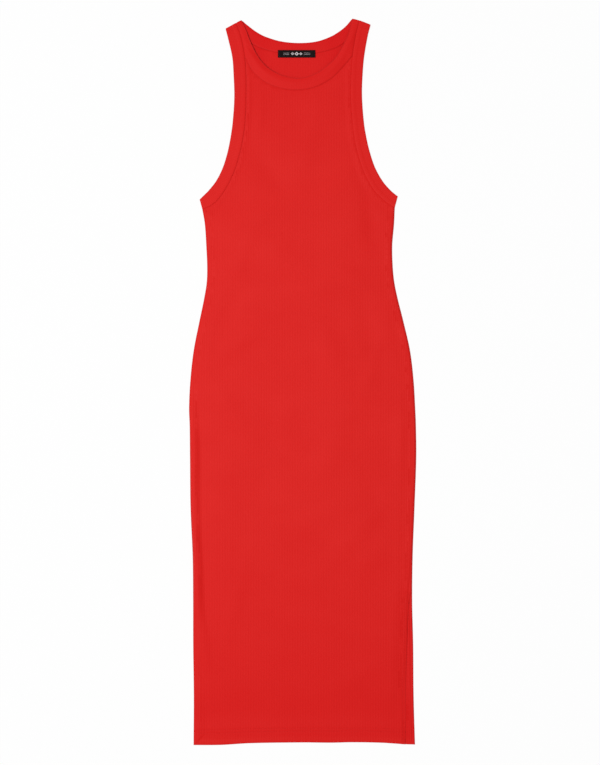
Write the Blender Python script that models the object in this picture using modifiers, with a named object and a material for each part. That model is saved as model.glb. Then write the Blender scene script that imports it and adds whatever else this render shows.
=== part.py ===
"""Sleeveless bodycon dress in fine stretch knit, laid flat with its front up.

X runs across the dress, Y from the hem up to the shoulders and Z up from the surface it lies on.
The origin is the middle of the dress on that surface. The back lies on the surface and the front
lies on the back. Sizes are in millimetres: x is measured from the centre line and height from the
lowest point of the hem. "Left" and "right" are as the dress is seen from above.
"""

from bisect import bisect_right
from collections import namedtuple
from math import cos, dist, hypot, pi, sin

import bmesh
import bpy
from mathutils import Vector
from mathutils.geometry import intersect_point_line

MM = 0.001

# Whole garment
LENGTH = 1161.6  # hem to the top of the right shoulder
HEM_DEPTH = 24.0  # hem turned up inside
SLIT_TOP = 242.0  # where the right side seam ends
SLIT_SPREAD = 16.2  # how far the free front edge lies inside the back edge at the hem
SLIT_OPENING = 0.42  # power of the height above the hem by which it draws back to nothing

# Cloth
CLOTH = 1.2  # one ply
DOUBLE = 1.8  # two plies pressed together: the bands and the hem
GAP = 0.3  # between pieces that are sewn or lie together
EDGE_ROUND = 0.8  # width over which an edge thins out
EDGE_PLY = 0.45  # share of the thickness left at the very edge
STEP_HOLD = 3.0  # the front stays raised this far past a doubled edge of the back
STEP_FALL = 9.0  # and then sinks to the single ply over this distance
TIP_GAP = 2.0  # a panel's point stops this far below the place where two seams meet
SAG_FROM = 690.0  # height from which the rows of a panel begin to follow the neck's curve
BOW_TO = 72.0  # height up to which they follow the hem's

# Label across the back neck seam
LABEL_WIDTH = 60.0
LABEL_DEPTH = 11.5
LABEL_THICK = 1.0
LABEL_X = -9.5
LABEL_HEIGHT = 1106.4

# How finely each stretch is divided
PANEL_COLUMNS = 24
SIDE_STEPS = 20  # slit top to underarm
SLIT_STEPS = 8
ARMHOLE_STEPS = 26  # underarm to the panel's point
STRAP_STEPS = {"front": 8, "back": 4}  # panel's point to the shoulder
FOLD_STEPS = 6  # half turn over the shoulder

RED_KNIT = (0.69, 0.022, 0.020, 1.0)
LABEL_BLACK = (0.012, 0.008, 0.010, 1.0)

Side = namedtuple("Side", "height left right")
SIDES = (
    Side(0.0, -174.4, 179.4),
    Side(80.0, -174.1, 177.4),
    Side(160.0, -174.9, 176.4),
    Side(230.0, -175.2, 174.9),
    Side(300.0, -176.2, 175.9),
    Side(380.0, -179.1, 179.2),
    Side(460.0, -180.2, 181.6),
    Side(510.0, -181.0, 181.3),
    Side(540.0, -181.5, 180.2),
    Side(585.0, -179.7, 177.0),
    Side(632.0, -174.2, 171.3),
    Side(680.0, -164.6, 160.6),
    Side(715.0, -157.1, 151.7),
    Side(740.0, -153.1, 146.4),
    Side(765.0, -152.5, 143.6),
    Side(800.0, -153.6, 143.4),
    Side(834.0, -155.7, 145.9),
    Side(857.5, -159.4, 147.1),
)

Hem = namedtuple("Hem", "x rise")
HEM = (
    Hem(-174.4, 0.2),
    Hem(-130.0, 0.8),
    Hem(-84.0, 3.3),
    Hem(0.0, 4.6),
    Hem(79.0, 4.8),
    Hem(124.0, 4.0),
    Hem(179.4, 1.6),
)

# Armhole bands from the shoulder to the underarm: the free edge and the seam to the body
Armhole = namedtuple("Armhole", "edge_x edge_height seam_x seam_height")
ARMHOLES = {
    "left": (
        Armhole(-122.6, 1146.7, -106.0, 1154.3),
        Armhole(-120.3, 1134.6, -100.6, 1134.6),
        Armhole(-112.5, 1101.0, -93.9, 1101.0),
        Armhole(-110.4, 1072.2, -91.9, 1072.2),
        Armhole(-109.1, 1035.4, -91.4, 1035.4),
        Armhole(-111.4, 996.2, -92.8, 996.2),
        Armhole(-114.7, 970.6, -96.3, 967.2),
        Armhole(-119.5, 947.4, -101.5, 943.0),
        Armhole(-127.4, 923.4, -109.1, 918.6),
        Armhole(-137.8, 902.6, -121.1, 893.8),
        Armhole(-149.6, 886.6, -135.6, 872.6),
        Armhole(-157.4, 878.8, -147.4, 862.6),
        Armhole(-162.9, 873.0, -159.4, 857.5),
    ),
    "right": (
        Armhole(108.6, 1151.4, 90.6, 1157.6),
        Armhole(104.8, 1136.2, 82.8, 1136.2),
        Armhole(98.6, 1101.8, 78.4, 1102.6),
        Armhole(96.0, 1072.2, 76.0, 1072.2),
        Armhole(95.0, 1038.0, 75.2, 1036.4),
        Armhole(98.2, 996.2, 78.0, 996.2),
        Armhole(102.1, 970.6, 81.9, 965.7),
        Armhole(107.6, 947.4, 89.0, 939.8),
        Armhole(115.8, 923.4, 98.9, 914.0),
        Armhole(127.6, 902.2, 112.5, 890.5),
        Armhole(138.4, 888.8, 126.0, 875.6),
        Armhole(145.0, 882.2, 136.3, 867.0),
        Armhole(149.9, 877.8, 147.1, 859.6),
    ),
}
SHOULDER_ROW = 0
TIP_ROWS = {"back": 1, "front": 2}  # where each panel runs out in a point between the bands
UNDERARM_ROW = 12

# Neckline from the left shoulder to the right: the free edge of the neck band
Point = namedtuple("Point", "x height")
NECK_EDGES = {
    "front": (
        Point(-97.3, 1158.4),
        Point(-93.2, 1145.2),
        Point(-86.2, 1127.4),
        Point(-76.6, 1108.0),
        Point(-66.3, 1093.5),
        Point(-53.0, 1081.9),
        Point(-32.3, 1071.4),
        Point(-4.4, 1067.0),
        Point(21.4, 1074.6),
        Point(40.6, 1088.0),
        Point(51.8, 1098.9),
        Point(59.8, 1110.8),
        Point(66.2, 1123.2),
        Point(72.2, 1136.2),
        Point(79.0, 1161.6),
    ),
    "back": (
        Point(-97.3, 1158.4),
        Point(-88.5, 1151.0),
        Point(-73.8, 1140.5),
        Point(-60.2, 1133.3),
        Point(-35.4, 1125.9),
        Point(-6.6, 1123.0),
        Point(22.2, 1125.3),
        Point(45.4, 1133.1),
        Point(61.4, 1143.5),
        Point(70.5, 1151.7),
        Point(79.0, 1161.6),
    ),
}
NECK_TIP_ROWS = {"front": (3, 11), "back": (1, 9)}  # edge rows that face the panels' points

# Seam of the neck band to each panel, between the panel's two points
NECK_SEAMS = {
    "front": (
        Point(-79.0, 1076.9),
        Point(-57.8, 1059.6),
        Point(-31.8, 1050.3),
        Point(-5.0, 1048.2),
        Point(20.2, 1052.8),
        Point(45.2, 1065.8),
        Point(62.3, 1082.1),
    ),
    "back": (
        Point(-84.2, 1124.0),
        Point(-66.9, 1115.4),
        Point(-39.4, 1108.3),
        Point(-6.6, 1105.8),
        Point(26.2, 1108.3),
        Point(52.6, 1115.4),
        Point(71.0, 1126.2),
    ),
}

# Levels of the two layers of bands
BACK_MIDDLE = DOUBLE / 2
FRONT_MIDDLE = DOUBLE + GAP + DOUBLE / 2
FOLD_RADIUS = (FRONT_MIDDLE - BACK_MIDDLE) / 2
FOLD_REACH = FOLD_RADIUS + DOUBLE / 2


def mix(a, b, share):
    return tuple(p + (q - p) * share for p, q in zip(a, b))


def fade(share):
    """1 at share 0, falling smoothly to 0 at share 1."""
    share = min(max(share, 0.0), 1.0)
    return 1 - share * share * (3 - 2 * share)


def spline(knots, rows, at):
    """The row of values that a smooth curve through the table has at one knot value."""
    last = len(rows) - 1

    def slope(row, column):
        low, high = max(row - 1, 0), min(row + 1, last)
        return (rows[high][column] - rows[low][column]) / (knots[high] - knots[low])

    row = min(max(bisect_right(knots, at) - 1, 0), last - 1)
    span = knots[row + 1] - knots[row]
    t = (at - knots[row]) / span
    values = []
    for column in range(len(rows[0])):
        values.append(
            (2 * t**3 - 3 * t**2 + 1) * rows[row][column]
            + (t**3 - 2 * t**2 + t) * span * slope(row, column)
            + (3 * t**2 - 2 * t**3) * rows[row + 1][column]
            + (t**3 - t**2) * span * slope(row + 1, column)
        )
    return tuple(values)


def along(rows, steps, first=0, last=None):
    """Evenly spaced rows of the smooth curve through a table, from one of its rows to another."""
    last = len(rows) - 1 if last is None else last
    knots = [0.0]
    for here, there in zip(rows, rows[1:]):
        knots.append(knots[-1] + dist(here, there))
    stretch = knots[last] - knots[first]
    return [spline(knots, rows, knots[first] + stretch * step / steps) for step in range(steps + 1)]


def between(points, share):
    """The point at a share of the way along a list of evenly counted points."""
    place = share * (len(points) - 1)
    index = min(int(place), len(points) - 2)
    return mix(points[index], points[index + 1], place - index)


def side_points(height, face):
    """Left and right ends of a body row below the underarm."""
    _, left, right = spline([side.height for side in SIDES], SIDES, height)
    if face == "front":
        right -= slit_inset(height)
    return (left, height), (right, height)


def slit_inset(height):
    """How far the free front edge lies inside the back edge along the slit."""
    return SLIT_SPREAD * max(0.0, 1 - height / SLIT_TOP) ** SLIT_OPENING


def hem_rise(x):
    return spline([point.x for point in HEM], HEM, x)[1]


def side_heights():
    """Heights of the body rows from the hem to just below the underarm."""
    hem = [0.0, EDGE_ROUND, HEM_DEPTH - 2, HEM_DEPTH + 3]
    slit = [SLIT_TOP * (1 - (step / SLIT_STEPS) ** 2) for step in range(SLIT_STEPS - 1, -1, -1)]
    underarm = SIDES[-1].height
    rest = [SLIT_TOP + (underarm - SLIT_TOP) * step / SIDE_STEPS for step in range(1, SIDE_STEPS)]
    return hem + slit + rest


def armhole_sections(side, face):
    """Edge and seam points of an armhole band, shoulder to underarm, and the index of the tip."""
    tip = TIP_ROWS[face]
    strap = along(ARMHOLES[side], STRAP_STEPS[face], SHOULDER_ROW, tip)
    body = along(ARMHOLES[side], ARMHOLE_STEPS, tip, UNDERARM_ROW)
    sections = [(row[:2], row[2:]) for row in strap[:-1] + body]
    return sections, STRAP_STEPS[face]


def neck_sections(face):
    """Edge and seam points of the neck band on one face, left shoulder to right shoulder."""
    left_tip, right_tip = NECK_TIP_ROWS[face]
    edge = (
        along(NECK_EDGES[face], STRAP_STEPS[face], 0, left_tip)[:-1]
        + along(NECK_EDGES[face], PANEL_COLUMNS, left_tip, right_tip)
        + along(NECK_EDGES[face], STRAP_STEPS[face], right_tip)[1:]
    )
    straps = {}
    for side in ARMHOLES:
        sections, tip = armhole_sections(side, face)
        straps[side] = [seam for _, seam in sections[: tip + 1]]
    panel_seam = (straps["left"][-1], *NECK_SEAMS[face], straps["right"][-1])
    seam = straps["left"][:-1] + along(panel_seam, PANEL_COLUMNS) + straps["right"][-2::-1]
    return list(zip(edge, seam))


def toward(start, end, distance):
    """The point at a distance from start on the way to end."""
    return mix(start, end, distance / dist(start, end))


def panel_seam_points(sections):
    """The seam points of a band's sections, moved off the seam to the panel's side of it."""
    return [toward(seam, edge, -GAP / 2) for edge, seam in sections]


def panel_point(armhole_line, neck_line):
    """The corner of a panel between two seams that meet, just inside both."""
    down = Vector(toward((0, 0), [q - p for p, q in zip(*armhole_line[:2])], 1))
    in_ = Vector(toward((0, 0), [q - p for p, q in zip(*neck_line[:2])], 1))
    return tuple(Vector(armhole_line[0]) + (down + in_).normalized() * TIP_GAP)


def panel_boundary(face):
    """Row ends of a panel, hem to points, and the points of its neck seam, left to right."""
    strap = STRAP_STEPS[face]
    neck = panel_seam_points(neck_sections(face)[strap : strap + PANEL_COLUMNS + 1])
    sides = {"left": [], "right": []}
    for height in side_heights():
        left, right = side_points(height, face)
        sides["left"].append(left)
        sides["right"].append(right)
    for side, neck_line in (("left", neck), ("right", neck[::-1])):
        sections, tip = armhole_sections(side, face)
        armhole = panel_seam_points(sections[tip:])
        armhole[0] = panel_point([seam for _, seam in sections[tip:]], neck_line)
        thin = toward(armhole[0], armhole[1], EDGE_ROUND)
        sides[side] += [*armhole[:0:-1], thin, armhole[0]]
    neck[0], neck[-1] = sides["left"][-1], sides["right"][-1]
    return sides["left"], sides["right"], neck


def seam_lines_of_back():
    """Seams of the back bands, whose doubled cloth lifts what lies on them."""
    lines = [[seam for _, seam in neck_sections("back")]]
    for side in ARMHOLES:
        lines.append([seam for _, seam in armhole_sections(side, "back")[0]])
    return lines


def raised(point, lines):
    """How much of the band's extra thickness lifts the front here, from 0 to 1."""
    neck = lines[0]
    for left, right in zip(neck, neck[1:]):
        if left[0] <= point[0] <= right[0]:
            share = (point[0] - left[0]) / (right[0] - left[0])
            if point[1] >= mix(left, right, share)[1]:
                return 1.0
    nearest = STEP_HOLD + STEP_FALL
    for line in lines:
        for start, end in zip(line, line[1:]):
            foot, share = intersect_point_line(point, start, end)
            foot = foot if 0 <= share <= 1 else Vector(start if share < 0 else end)
            nearest = min(nearest, hypot(point[0] - foot[0], point[1] - foot[1]))
    return fade((nearest - STEP_HOLD) / STEP_FALL)


def sheet(name, rows, plies, thickness, offset, colour, ring=False):
    """A piece of cloth: a grid laid through rows of points and thickened.

    plies holds each point's share of the thickness. A ring's last row lies on its first.
    """
    last_row, last_column = len(rows) - 1, len(rows[0]) - 1
    cloth = bmesh.new()
    bmesh.ops.create_grid(cloth, x_segments=last_column, y_segments=last_row, size=1)
    weight = cloth.verts.layers.deform.verify()
    for vertex in cloth.verts:
        column = round((vertex.co.x + 1) / 2 * last_column)
        row = round((vertex.co.y + 1) / 2 * last_row)
        x, height, z = rows[row][column]
        vertex.co = (x * MM, (height - LENGTH / 2) * MM, z * MM)
        vertex[weight][0] = plies[row][column]
    if ring:
        bmesh.ops.remove_doubles(cloth, verts=cloth.verts, dist=0.01 * MM)
    mesh = bpy.data.meshes.new(name)
    cloth.to_mesh(mesh)
    cloth.free()
    mesh.shade_smooth()
    piece = bpy.data.objects.new(name, mesh)
    piece.vertex_groups.new(name="plies")
    solidify = piece.modifiers.new("thickness", "SOLIDIFY")
    solidify.thickness = thickness * MM
    solidify.offset = offset
    solidify.vertex_group = "plies"
    solidify.use_even_offset = True
    dress.objects.link(piece)
    paint(piece, colour)
    return piece


def paint(piece, colour):
    material = bpy.data.materials.new(f"{piece.name}_cloth")
    material.use_nodes = True
    shader = material.node_tree.nodes["Principled BSDF"]
    shader.inputs["Base Color"].default_value = colour
    shader.inputs["Roughness"].default_value = 0.85
    shader.inputs["Metallic"].default_value = 0.0
    piece.data.materials.append(material)


def build_panel(name, face):
    """Front or back: rows from the hem to the neck seam, between the sides and the armhole seams."""
    left, right, neck = panel_boundary(face)
    heights = side_heights()
    lines = seam_lines_of_back()
    top = len(left) - 1
    top_height = (left[top][1] + right[top][1]) / 2
    rows, plies = [], []
    for index, (start, end) in enumerate(zip(left, right)):
        middle = (start[1] + end[1]) / 2
        sag = max(0.0, (middle - SAG_FROM) / (top_height - SAG_FROM)) ** 2
        bow = max(0.0, 1 - middle / BOW_TO)
        doubled = 1.0 if middle < HEM_DEPTH else 0.0
        edge = EDGE_ROUND / dist(start, end)
        shares = [0.0, edge, *(i / PANEL_COLUMNS for i in range(1, PANEL_COLUMNS)), 1 - edge, 1.0]
        row, row_plies = [], []
        for share in shares:
            x, height = mix(start, end, share)
            neck_x, neck_height = between(neck, share)
            chord_x, chord_height = mix(neck[0], neck[-1], share)
            x += sag * (neck_x - chord_x)
            height += sag * (neck_height - chord_height) + bow * hem_rise(x)
            full = CLOTH + (DOUBLE - CLOTH) * doubled
            at_side = share in (0.0, 1.0)
            at_end = index in (0, top)
            thin = EDGE_PLY if at_side or at_end else 1.0
            thickness = full * thin
            z = 0.0
            if face == "front":
                z = GAP + CLOTH + (DOUBLE - CLOTH) * max(doubled, raised((x, height), lines))
                along_slit = share == 1.0 and start[1] < SLIT_TOP + MM
                if index == 0 or along_slit:
                    z += (full - thickness) / 2
                elif at_side and index < len(heights):
                    z -= CLOTH * (1 - EDGE_PLY)
            row.append((x, height, z))
            row_plies.append(thickness / DOUBLE)
        rows.append(row)
        plies.append(row_plies)
    return sheet(name, rows, plies, DOUBLE, 1, RED_KNIT)


def band_section(edge, seam, middles):
    """Points and plies across a doubled band, from its folded edge to its seam."""
    seam = toward(seam, edge, GAP / 2)
    width = dist(edge, seam)
    rim = EDGE_ROUND / width
    shares = (0.0, rim, 0.5, 1 - rim, 1.0)
    row = []
    for share, middle in zip(shares, middles):
        row.append((*mix(edge, seam, share), middle))
    return row


BAND_PLIES = (EDGE_PLY, 1.0, 1.0, 1.0, EDGE_PLY)


def shoulder_outward(side):
    """Unit vector in the plane of the dress, off the end of a shoulder strap."""
    edge = Vector(ARMHOLES[side][SHOULDER_ROW][:2])
    seam = Vector(ARMHOLES[side][SHOULDER_ROW][2:])
    outward = (seam - edge).orthogonal().normalized()
    return outward if outward.y > 0 else -outward


def pull_in(section, side):
    """A shoulder section moved in, so that the fold made there ends at the shoulder line."""
    back = shoulder_outward(side) * FOLD_REACH
    return tuple((x - back.x, height - back.y) for x, height in section)


def shoulder_fold(section, side):
    """Rows that take a band over the shoulder, from the front layer to the back one."""
    outward = shoulder_outward(side)
    centre = (FRONT_MIDDLE + BACK_MIDDLE) / 2
    rows = []
    for step in range(FOLD_STEPS + 1):
        turn = pi * step / FOLD_STEPS
        shift = outward * FOLD_RADIUS * sin(turn)
        edge, seam = (tuple(Vector(point) + shift) for point in section)
        rows.append(band_section(edge, seam, [centre + FOLD_RADIUS * cos(turn)] * len(BAND_PLIES)))
    return rows


def build_armhole_band(side):
    """One doubled strip from the front underarm over the shoulder to the back underarm."""
    front, _ = armhole_sections(side, "front")
    back, _ = armhole_sections(side, "back")
    shoulder = pull_in(front[0], side)
    flat_front = [band_section(*section, [FRONT_MIDDLE] * 5) for section in front[:0:-1]]
    flat_back = [band_section(*section, [BACK_MIDDLE] * 5) for section in back[1:]]
    rows = flat_front + shoulder_fold(shoulder, side) + flat_back
    plies = [list(BAND_PLIES) for _ in rows]
    for end in (0, -1):
        plies[end] = [EDGE_PLY] * len(BAND_PLIES)
    return sheet(f"armhole_band_{side}", rows, plies, DOUBLE, 0, RED_KNIT)


def build_neck_band():
    """One doubled strip sewn into a ring round the neck, folded over at both shoulders."""
    lines = seam_lines_of_back()
    front, back = neck_sections("front"), neck_sections("back")
    rows = []
    for section in front[1:-1]:
        flat = band_section(*section, [0.0] * 5)
        rows.append([(x, height, front_band_middle((x, height), lines)) for x, height, _ in flat])
    rows += shoulder_fold(pull_in(front[-1], "right"), "right")
    rows += [band_section(*section, [BACK_MIDDLE] * 5) for section in back[-2:0:-1]]
    rows += shoulder_fold(pull_in(front[0], "left"), "left")[::-1]
    rows.append(rows[0])
    plies = [BAND_PLIES for _ in rows]
    return sheet("neck_band", rows, plies, DOUBLE, 0, RED_KNIT, ring=True)


def front_band_middle(point, lines):
    """Middle level of the front neck band, raised where it lies on the back bands."""
    return GAP + CLOTH + (DOUBLE - CLOTH) * raised(point, lines) + DOUBLE / 2


def build_label():
    """Woven label lying across the back neck seam, over the band's edge and down on to the back."""
    lines = seam_lines_of_back()
    rows, plies = [], []
    shares = (0.0, 0.04, 0.25, 0.5, 0.75, 0.96, 1.0)
    for down in shares:
        row = []
        for across in shares:
            x = LABEL_X + LABEL_WIDTH * (across - 0.5)
            height = LABEL_HEIGHT + LABEL_DEPTH * (down - 0.5)
            z = GAP + CLOTH + (DOUBLE - CLOTH) * raised((x, height), lines)
            row.append((x, height, z))
        rows.append(row)
        edge_row = down in (0.0, 1.0)
        plies.append([0.6 if edge_row or across in (0.0, 1.0) else 1.0 for across in shares])
    return sheet("neck_label", rows, plies, LABEL_THICK, 1, LABEL_BLACK)


for leftover in list(bpy.data.objects):
    bpy.data.objects.remove(leftover, do_unlink=True)

dress = bpy.data.collections.new("bodycon_dress")
bpy.context.scene.collection.children.link(dress)

build_panel("back_panel", "back")
build_panel("front_panel", "front")
build_neck_band()
for armhole_side in ARMHOLES:
    build_armhole_band(armhole_side)
build_label()
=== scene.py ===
"""Looks of a sleeveless bodycon dress in fine rib knit, laid flat with its front up.

X runs across the dress, Y from the hem up to the shoulders and Z up from the surface it lies on.
Sizes are in millimetres: x from the centre line and height from the lowest point of the hem, and
they become metres where a mesh is made. Left and right are as the dress is seen from above.
"""

import math
from collections import namedtuple

import bmesh
import bpy
import numpy as np
from mathutils.geometry import delaunay_2d_cdt
from mathutils.kdtree import KDTree
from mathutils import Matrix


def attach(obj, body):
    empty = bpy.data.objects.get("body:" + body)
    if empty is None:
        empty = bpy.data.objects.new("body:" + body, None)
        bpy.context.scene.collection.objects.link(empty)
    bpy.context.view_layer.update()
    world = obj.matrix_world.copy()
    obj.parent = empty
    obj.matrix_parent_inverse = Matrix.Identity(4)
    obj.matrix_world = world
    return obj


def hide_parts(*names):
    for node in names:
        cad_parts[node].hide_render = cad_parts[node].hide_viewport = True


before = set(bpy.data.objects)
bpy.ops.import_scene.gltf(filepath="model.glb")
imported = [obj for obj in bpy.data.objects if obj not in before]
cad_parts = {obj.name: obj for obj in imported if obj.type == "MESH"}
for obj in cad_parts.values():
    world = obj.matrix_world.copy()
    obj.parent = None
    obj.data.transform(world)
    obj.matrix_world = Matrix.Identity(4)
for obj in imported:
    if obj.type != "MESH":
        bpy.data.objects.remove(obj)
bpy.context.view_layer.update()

# ------------------------------------------------------------------------------------ back panel
# The back is one piece of fine rib knit, cut with its ribs running from hem to shoulder, and lies
# underneath. Its hem is turned up inside and held by two rows of red thread, its edge beside the
# slit is turned in and held by one, and the bands are sewn to its upper edges.

MM = 0.001
LENGTH = 1161.6
HEM_DEPTH = 24.0
SLIT_TOP = 242.0
CLOTH = 1.2
DOUBLE = 1.8
GAP = 0.3
SEAM_LAP = 0.06  # that each piece reaches over the line of its seam
EDGE_STEP = 0.5  # between the points that follow an edge
BOW_TO = 72.0  # height up to which the courses follow the hem's curve

RIB = 2.6  # from one rib to the next
RIB_DEPTH = 0.26
RIB_SAMPLES = (0.0, 0.2, 0.5, 0.8)  # across one rib, from the valley
COURSE_STEP = 9.0  # between rows of points along a rib

Side = namedtuple("Side", "height left right")
SIDES = (
    Side(0.0, -174.4, 179.9),
    Side(80.0, -174.1, 177.7),
    Side(160.0, -175.1, 177.0),
    Side(230.0, -175.2, 175.4),
    Side(300.0, -175.9, 176.1),
    Side(380.0, -179.3, 179.1),
    Side(460.0, -180.2, 181.9),
    Side(510.0, -180.7, 181.4),
    Side(540.0, -181.7, 180.2),
    Side(585.0, -179.5, 177.5),
    Side(632.0, -174.2, 171.8),
    Side(680.0, -164.7, 160.8),
    Side(715.0, -157.5, 152.0),
    Side(740.0, -153.5, 146.9),
    Side(765.0, -152.7, 144.3),
    Side(800.0, -154.2, 143.5),
    Side(834.0, -156.5, 146.4),
    Side(857.5, -160.5, 147.4),
)

Hem = namedtuple("Hem", "x rise")
HEM = (
    Hem(-174.4, 0.2),
    Hem(-130.0, 0.5),
    Hem(-84.0, 3.2),
    Hem(0.0, 4.4),
    Hem(45.0, 4.0),
    Hem(79.0, 4.7),
    Hem(124.0, 4.0),
    Hem(150.0, 2.4),
    Hem(166.0, 1.1),
    Hem(179.4, 0.7),
)

# From the shoulder to the underarm: the free edge of the armhole band and its seam to the body
Armhole = namedtuple("Armhole", "edge_x edge_height seam_x seam_height")
ARMHOLES = {
    "left": (
        Armhole(-123.5, 1146.6, -106.9, 1155.6),
        Armhole(-120.3, 1134.6, -99.3, 1134.6),
        Armhole(-112.6, 1101.0, -92.7, 1101.0),
        Armhole(-110.4, 1072.2, -90.7, 1072.2),
        Armhole(-109.3, 1035.4, -90.5, 1035.4),
        Armhole(-111.9, 996.2, -92.2, 996.2),
        Armhole(-115.5, 970.6, -96.1, 967.2),
        Armhole(-120.3, 947.4, -101.5, 943.0),
        Armhole(-127.8, 923.4, -109.1, 918.6),
        Armhole(-138.2, 902.6, -121.1, 893.8),
        Armhole(-150.8, 886.6, -135.6, 872.6),
        Armhole(-158.8, 878.6, -147.7, 862.6),
        Armhole(-164.7, 872.8, -160.5, 857.5),
    ),
    "right": (
        Armhole(109.0, 1152.8, 91.3, 1159.7),
        Armhole(104.6, 1136.2, 85.6, 1136.2),
        Armhole(98.6, 1101.8, 80.1, 1102.6),
        Armhole(96.0, 1072.2, 78.0, 1072.2),
        Armhole(95.1, 1038.0, 77.3, 1036.4),
        Armhole(98.1, 996.2, 80.2, 996.2),
        Armhole(102.3, 970.6, 84.1, 965.7),
        Armhole(107.9, 947.4, 90.5, 939.8),
        Armhole(116.1, 923.4, 99.7, 914.0),
        Armhole(128.0, 902.2, 112.5, 890.5),
        Armhole(139.3, 888.8, 126.0, 875.6),
        Armhole(146.6, 882.2, 136.4, 867.0),
        Armhole(152.3, 877.8, 147.4, 859.6),
    ),
}
TIP_ROWS = {"back": 1, "front": 2}  # where each panel runs out in a point between the bands

# Seam of the neck band to each panel, between the panel's two points
NECK_SEAMS = {
    "back": (
        (-84.2, 1124.0),
        (-66.9, 1115.4),
        (-39.4, 1108.3),
        (-6.6, 1105.8),
        (26.2, 1108.3),
        (52.6, 1115.4),
        (71.0, 1126.2),
    ),
    "front": (
        (-79.0, 1076.9),
        (-57.8, 1059.6),
        (-31.8, 1050.3),
        (-5.0, 1048.2),
        (20.2, 1052.8),
        (45.2, 1065.8),
        (62.3, 1082.1),
    ),
}


def curve_at(knots, rows, at):
    """The rows of values that a smooth curve through a table has at many knot values."""
    knots, rows, at = (np.asarray(values, float) for values in (knots, rows, at))
    last = len(rows) - 1
    every = np.arange(last + 1)
    low, high = np.maximum(every - 1, 0), np.minimum(every + 1, last)
    slopes = (rows[high] - rows[low]) / (knots[high] - knots[low])[:, None]
    row = np.clip(np.searchsorted(knots, at, side="right") - 1, 0, last - 1)
    span = (knots[row + 1] - knots[row])[:, None]
    t = (at - knots[row])[:, None] / span
    return (
        (2 * t**3 - 3 * t**2 + 1) * rows[row]
        + (t**3 - 2 * t**2 + t) * span * slopes[row]
        + (3 * t**2 - 2 * t**3) * rows[row + 1]
        + (t**3 - t**2) * span * slopes[row + 1]
    )


def travelled(points):
    """Distance along a line of points, at each of them."""
    steps = np.linalg.norm(np.diff(points, axis=0), axis=1)
    return np.concatenate(([0.0], np.cumsum(steps)))


def along(rows, step, first=0, last=None):
    """Points of the smooth curve through a table, from one of its rows to another."""
    rows = np.array(rows, float)
    last = len(rows) - 1 if last is None else last
    knots = travelled(rows)
    count = max(2, math.ceil((knots[last] - knots[first]) / step))
    return curve_at(knots, rows, np.linspace(knots[first], knots[last], count + 1))


def smooth(share):
    """0 up to share 0 and 1 from share 1, with a soft rise between."""
    share = np.clip(share, 0.0, 1.0)
    return share * share * (3 - 2 * share)


def rounded(share):
    """Height of a quarter circle, 0 at share 0 and 1 from share 1."""
    return np.sqrt(1 - (1 - np.clip(share, 0.0, 1.0)) ** 2)


def rib_height(across):
    """0 in the valley between two ribs and 1 on top of a rib."""
    return np.abs(np.sin(math.pi * across / RIB)) ** 0.7


def hem_rise(x):
    """How far the hem rises above its lowest point."""
    return curve_at([point.x for point in HEM], HEM, x)[:, 1]


def bowed(x, height):
    """Height of a point after the courses near the hem have taken the hem's curve."""
    return height + np.maximum(0.0, 1 - height / BOW_TO) * hem_rise(x)


def unbowed(x, height):
    """Distance from the hem that a point near it was at before the hem took its curve."""
    rise = hem_rise(x)
    return np.where(height < BOW_TO, (height - rise) / (1 - rise / BOW_TO), height)


def sides_at(height):
    """The x of the back's left and right edges at given heights."""
    height = np.clip(height, 0.0, SIDES[-1].height)
    return curve_at([side.height for side in SIDES], SIDES, height)[:, 1:].T


def slit_inset(height):
    """How far the free front edge lies inside the back edge along the slit."""
    slit_spread, slit_opening = 15.2, 0.40
    return slit_spread * np.clip(1 - height / SLIT_TOP, 0.0, 1.0) ** slit_opening


HEM_EDGE, SIDE_EDGE, SLIT_EDGE, SEAM_EDGE = range(4)


def panel_outline(face):
    """A panel's edge, anticlockwise from the left end of the hem, and the kind of each point."""
    heights = np.arange(0.0, SIDES[-1].height, EDGE_STEP)
    left, right = sides_at(heights)
    along_slit = np.zeros(len(heights), bool)
    if face == "front":
        right = right - slit_inset(heights)
        along_slit = heights < SLIT_TOP
    hem = np.arange(left[0] + EDGE_STEP, right[0], EDGE_STEP)
    tip = TIP_ROWS[face]
    arm_left = along(ARMHOLES["left"], EDGE_STEP, tip)[:, 2:]
    arm_right = along(ARMHOLES["right"], EDGE_STEP, tip)[:, 2:]
    neck = along([arm_left[0], *NECK_SEAMS[face], arm_right[0]], EDGE_STEP)
    stretches = (
        (np.c_[hem, np.zeros(len(hem))], np.full(len(hem), HEM_EDGE)),
        (np.c_[right, heights], np.where(along_slit, SLIT_EDGE, SIDE_EDGE)),
        (arm_right[::-1], np.full(len(arm_right), SEAM_EDGE)),
        (neck[-2:0:-1], np.full(len(neck) - 2, SEAM_EDGE)),
        (arm_left, np.full(len(arm_left), SEAM_EDGE)),
        (np.c_[left, heights][::-1], np.full(len(heights), SIDE_EDGE)),
    )
    points = np.concatenate([stretch for stretch, _ in stretches])
    kinds = np.concatenate([kind for _, kind in stretches])
    corners = np.cumsum([0] + [len(kind) for _, kind in stretches])[:-1]
    corners = np.unique(np.concatenate((corners, corners - 1)) % len(points))
    points[:, 1] = bowed(points[:, 0], points[:, 1])
    return points, kinds, corners


def inward_of(points):
    """Unit vectors to the inside of an anticlockwise loop, at each of its points."""
    run = np.roll(points, -2, axis=0) - np.roll(points, 2, axis=0)
    inward = np.c_[-run[:, 1], run[:, 0]]
    return inward / np.linalg.norm(inward, axis=1)[:, None]


def tree_of(points):
    """A search tree over points in the plane of the dress."""
    tree = KDTree(len(points))
    for index, (x, height) in enumerate(points.tolist()):
        tree.insert((x, height, 0.0), index)
    tree.balance()
    return tree


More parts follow.
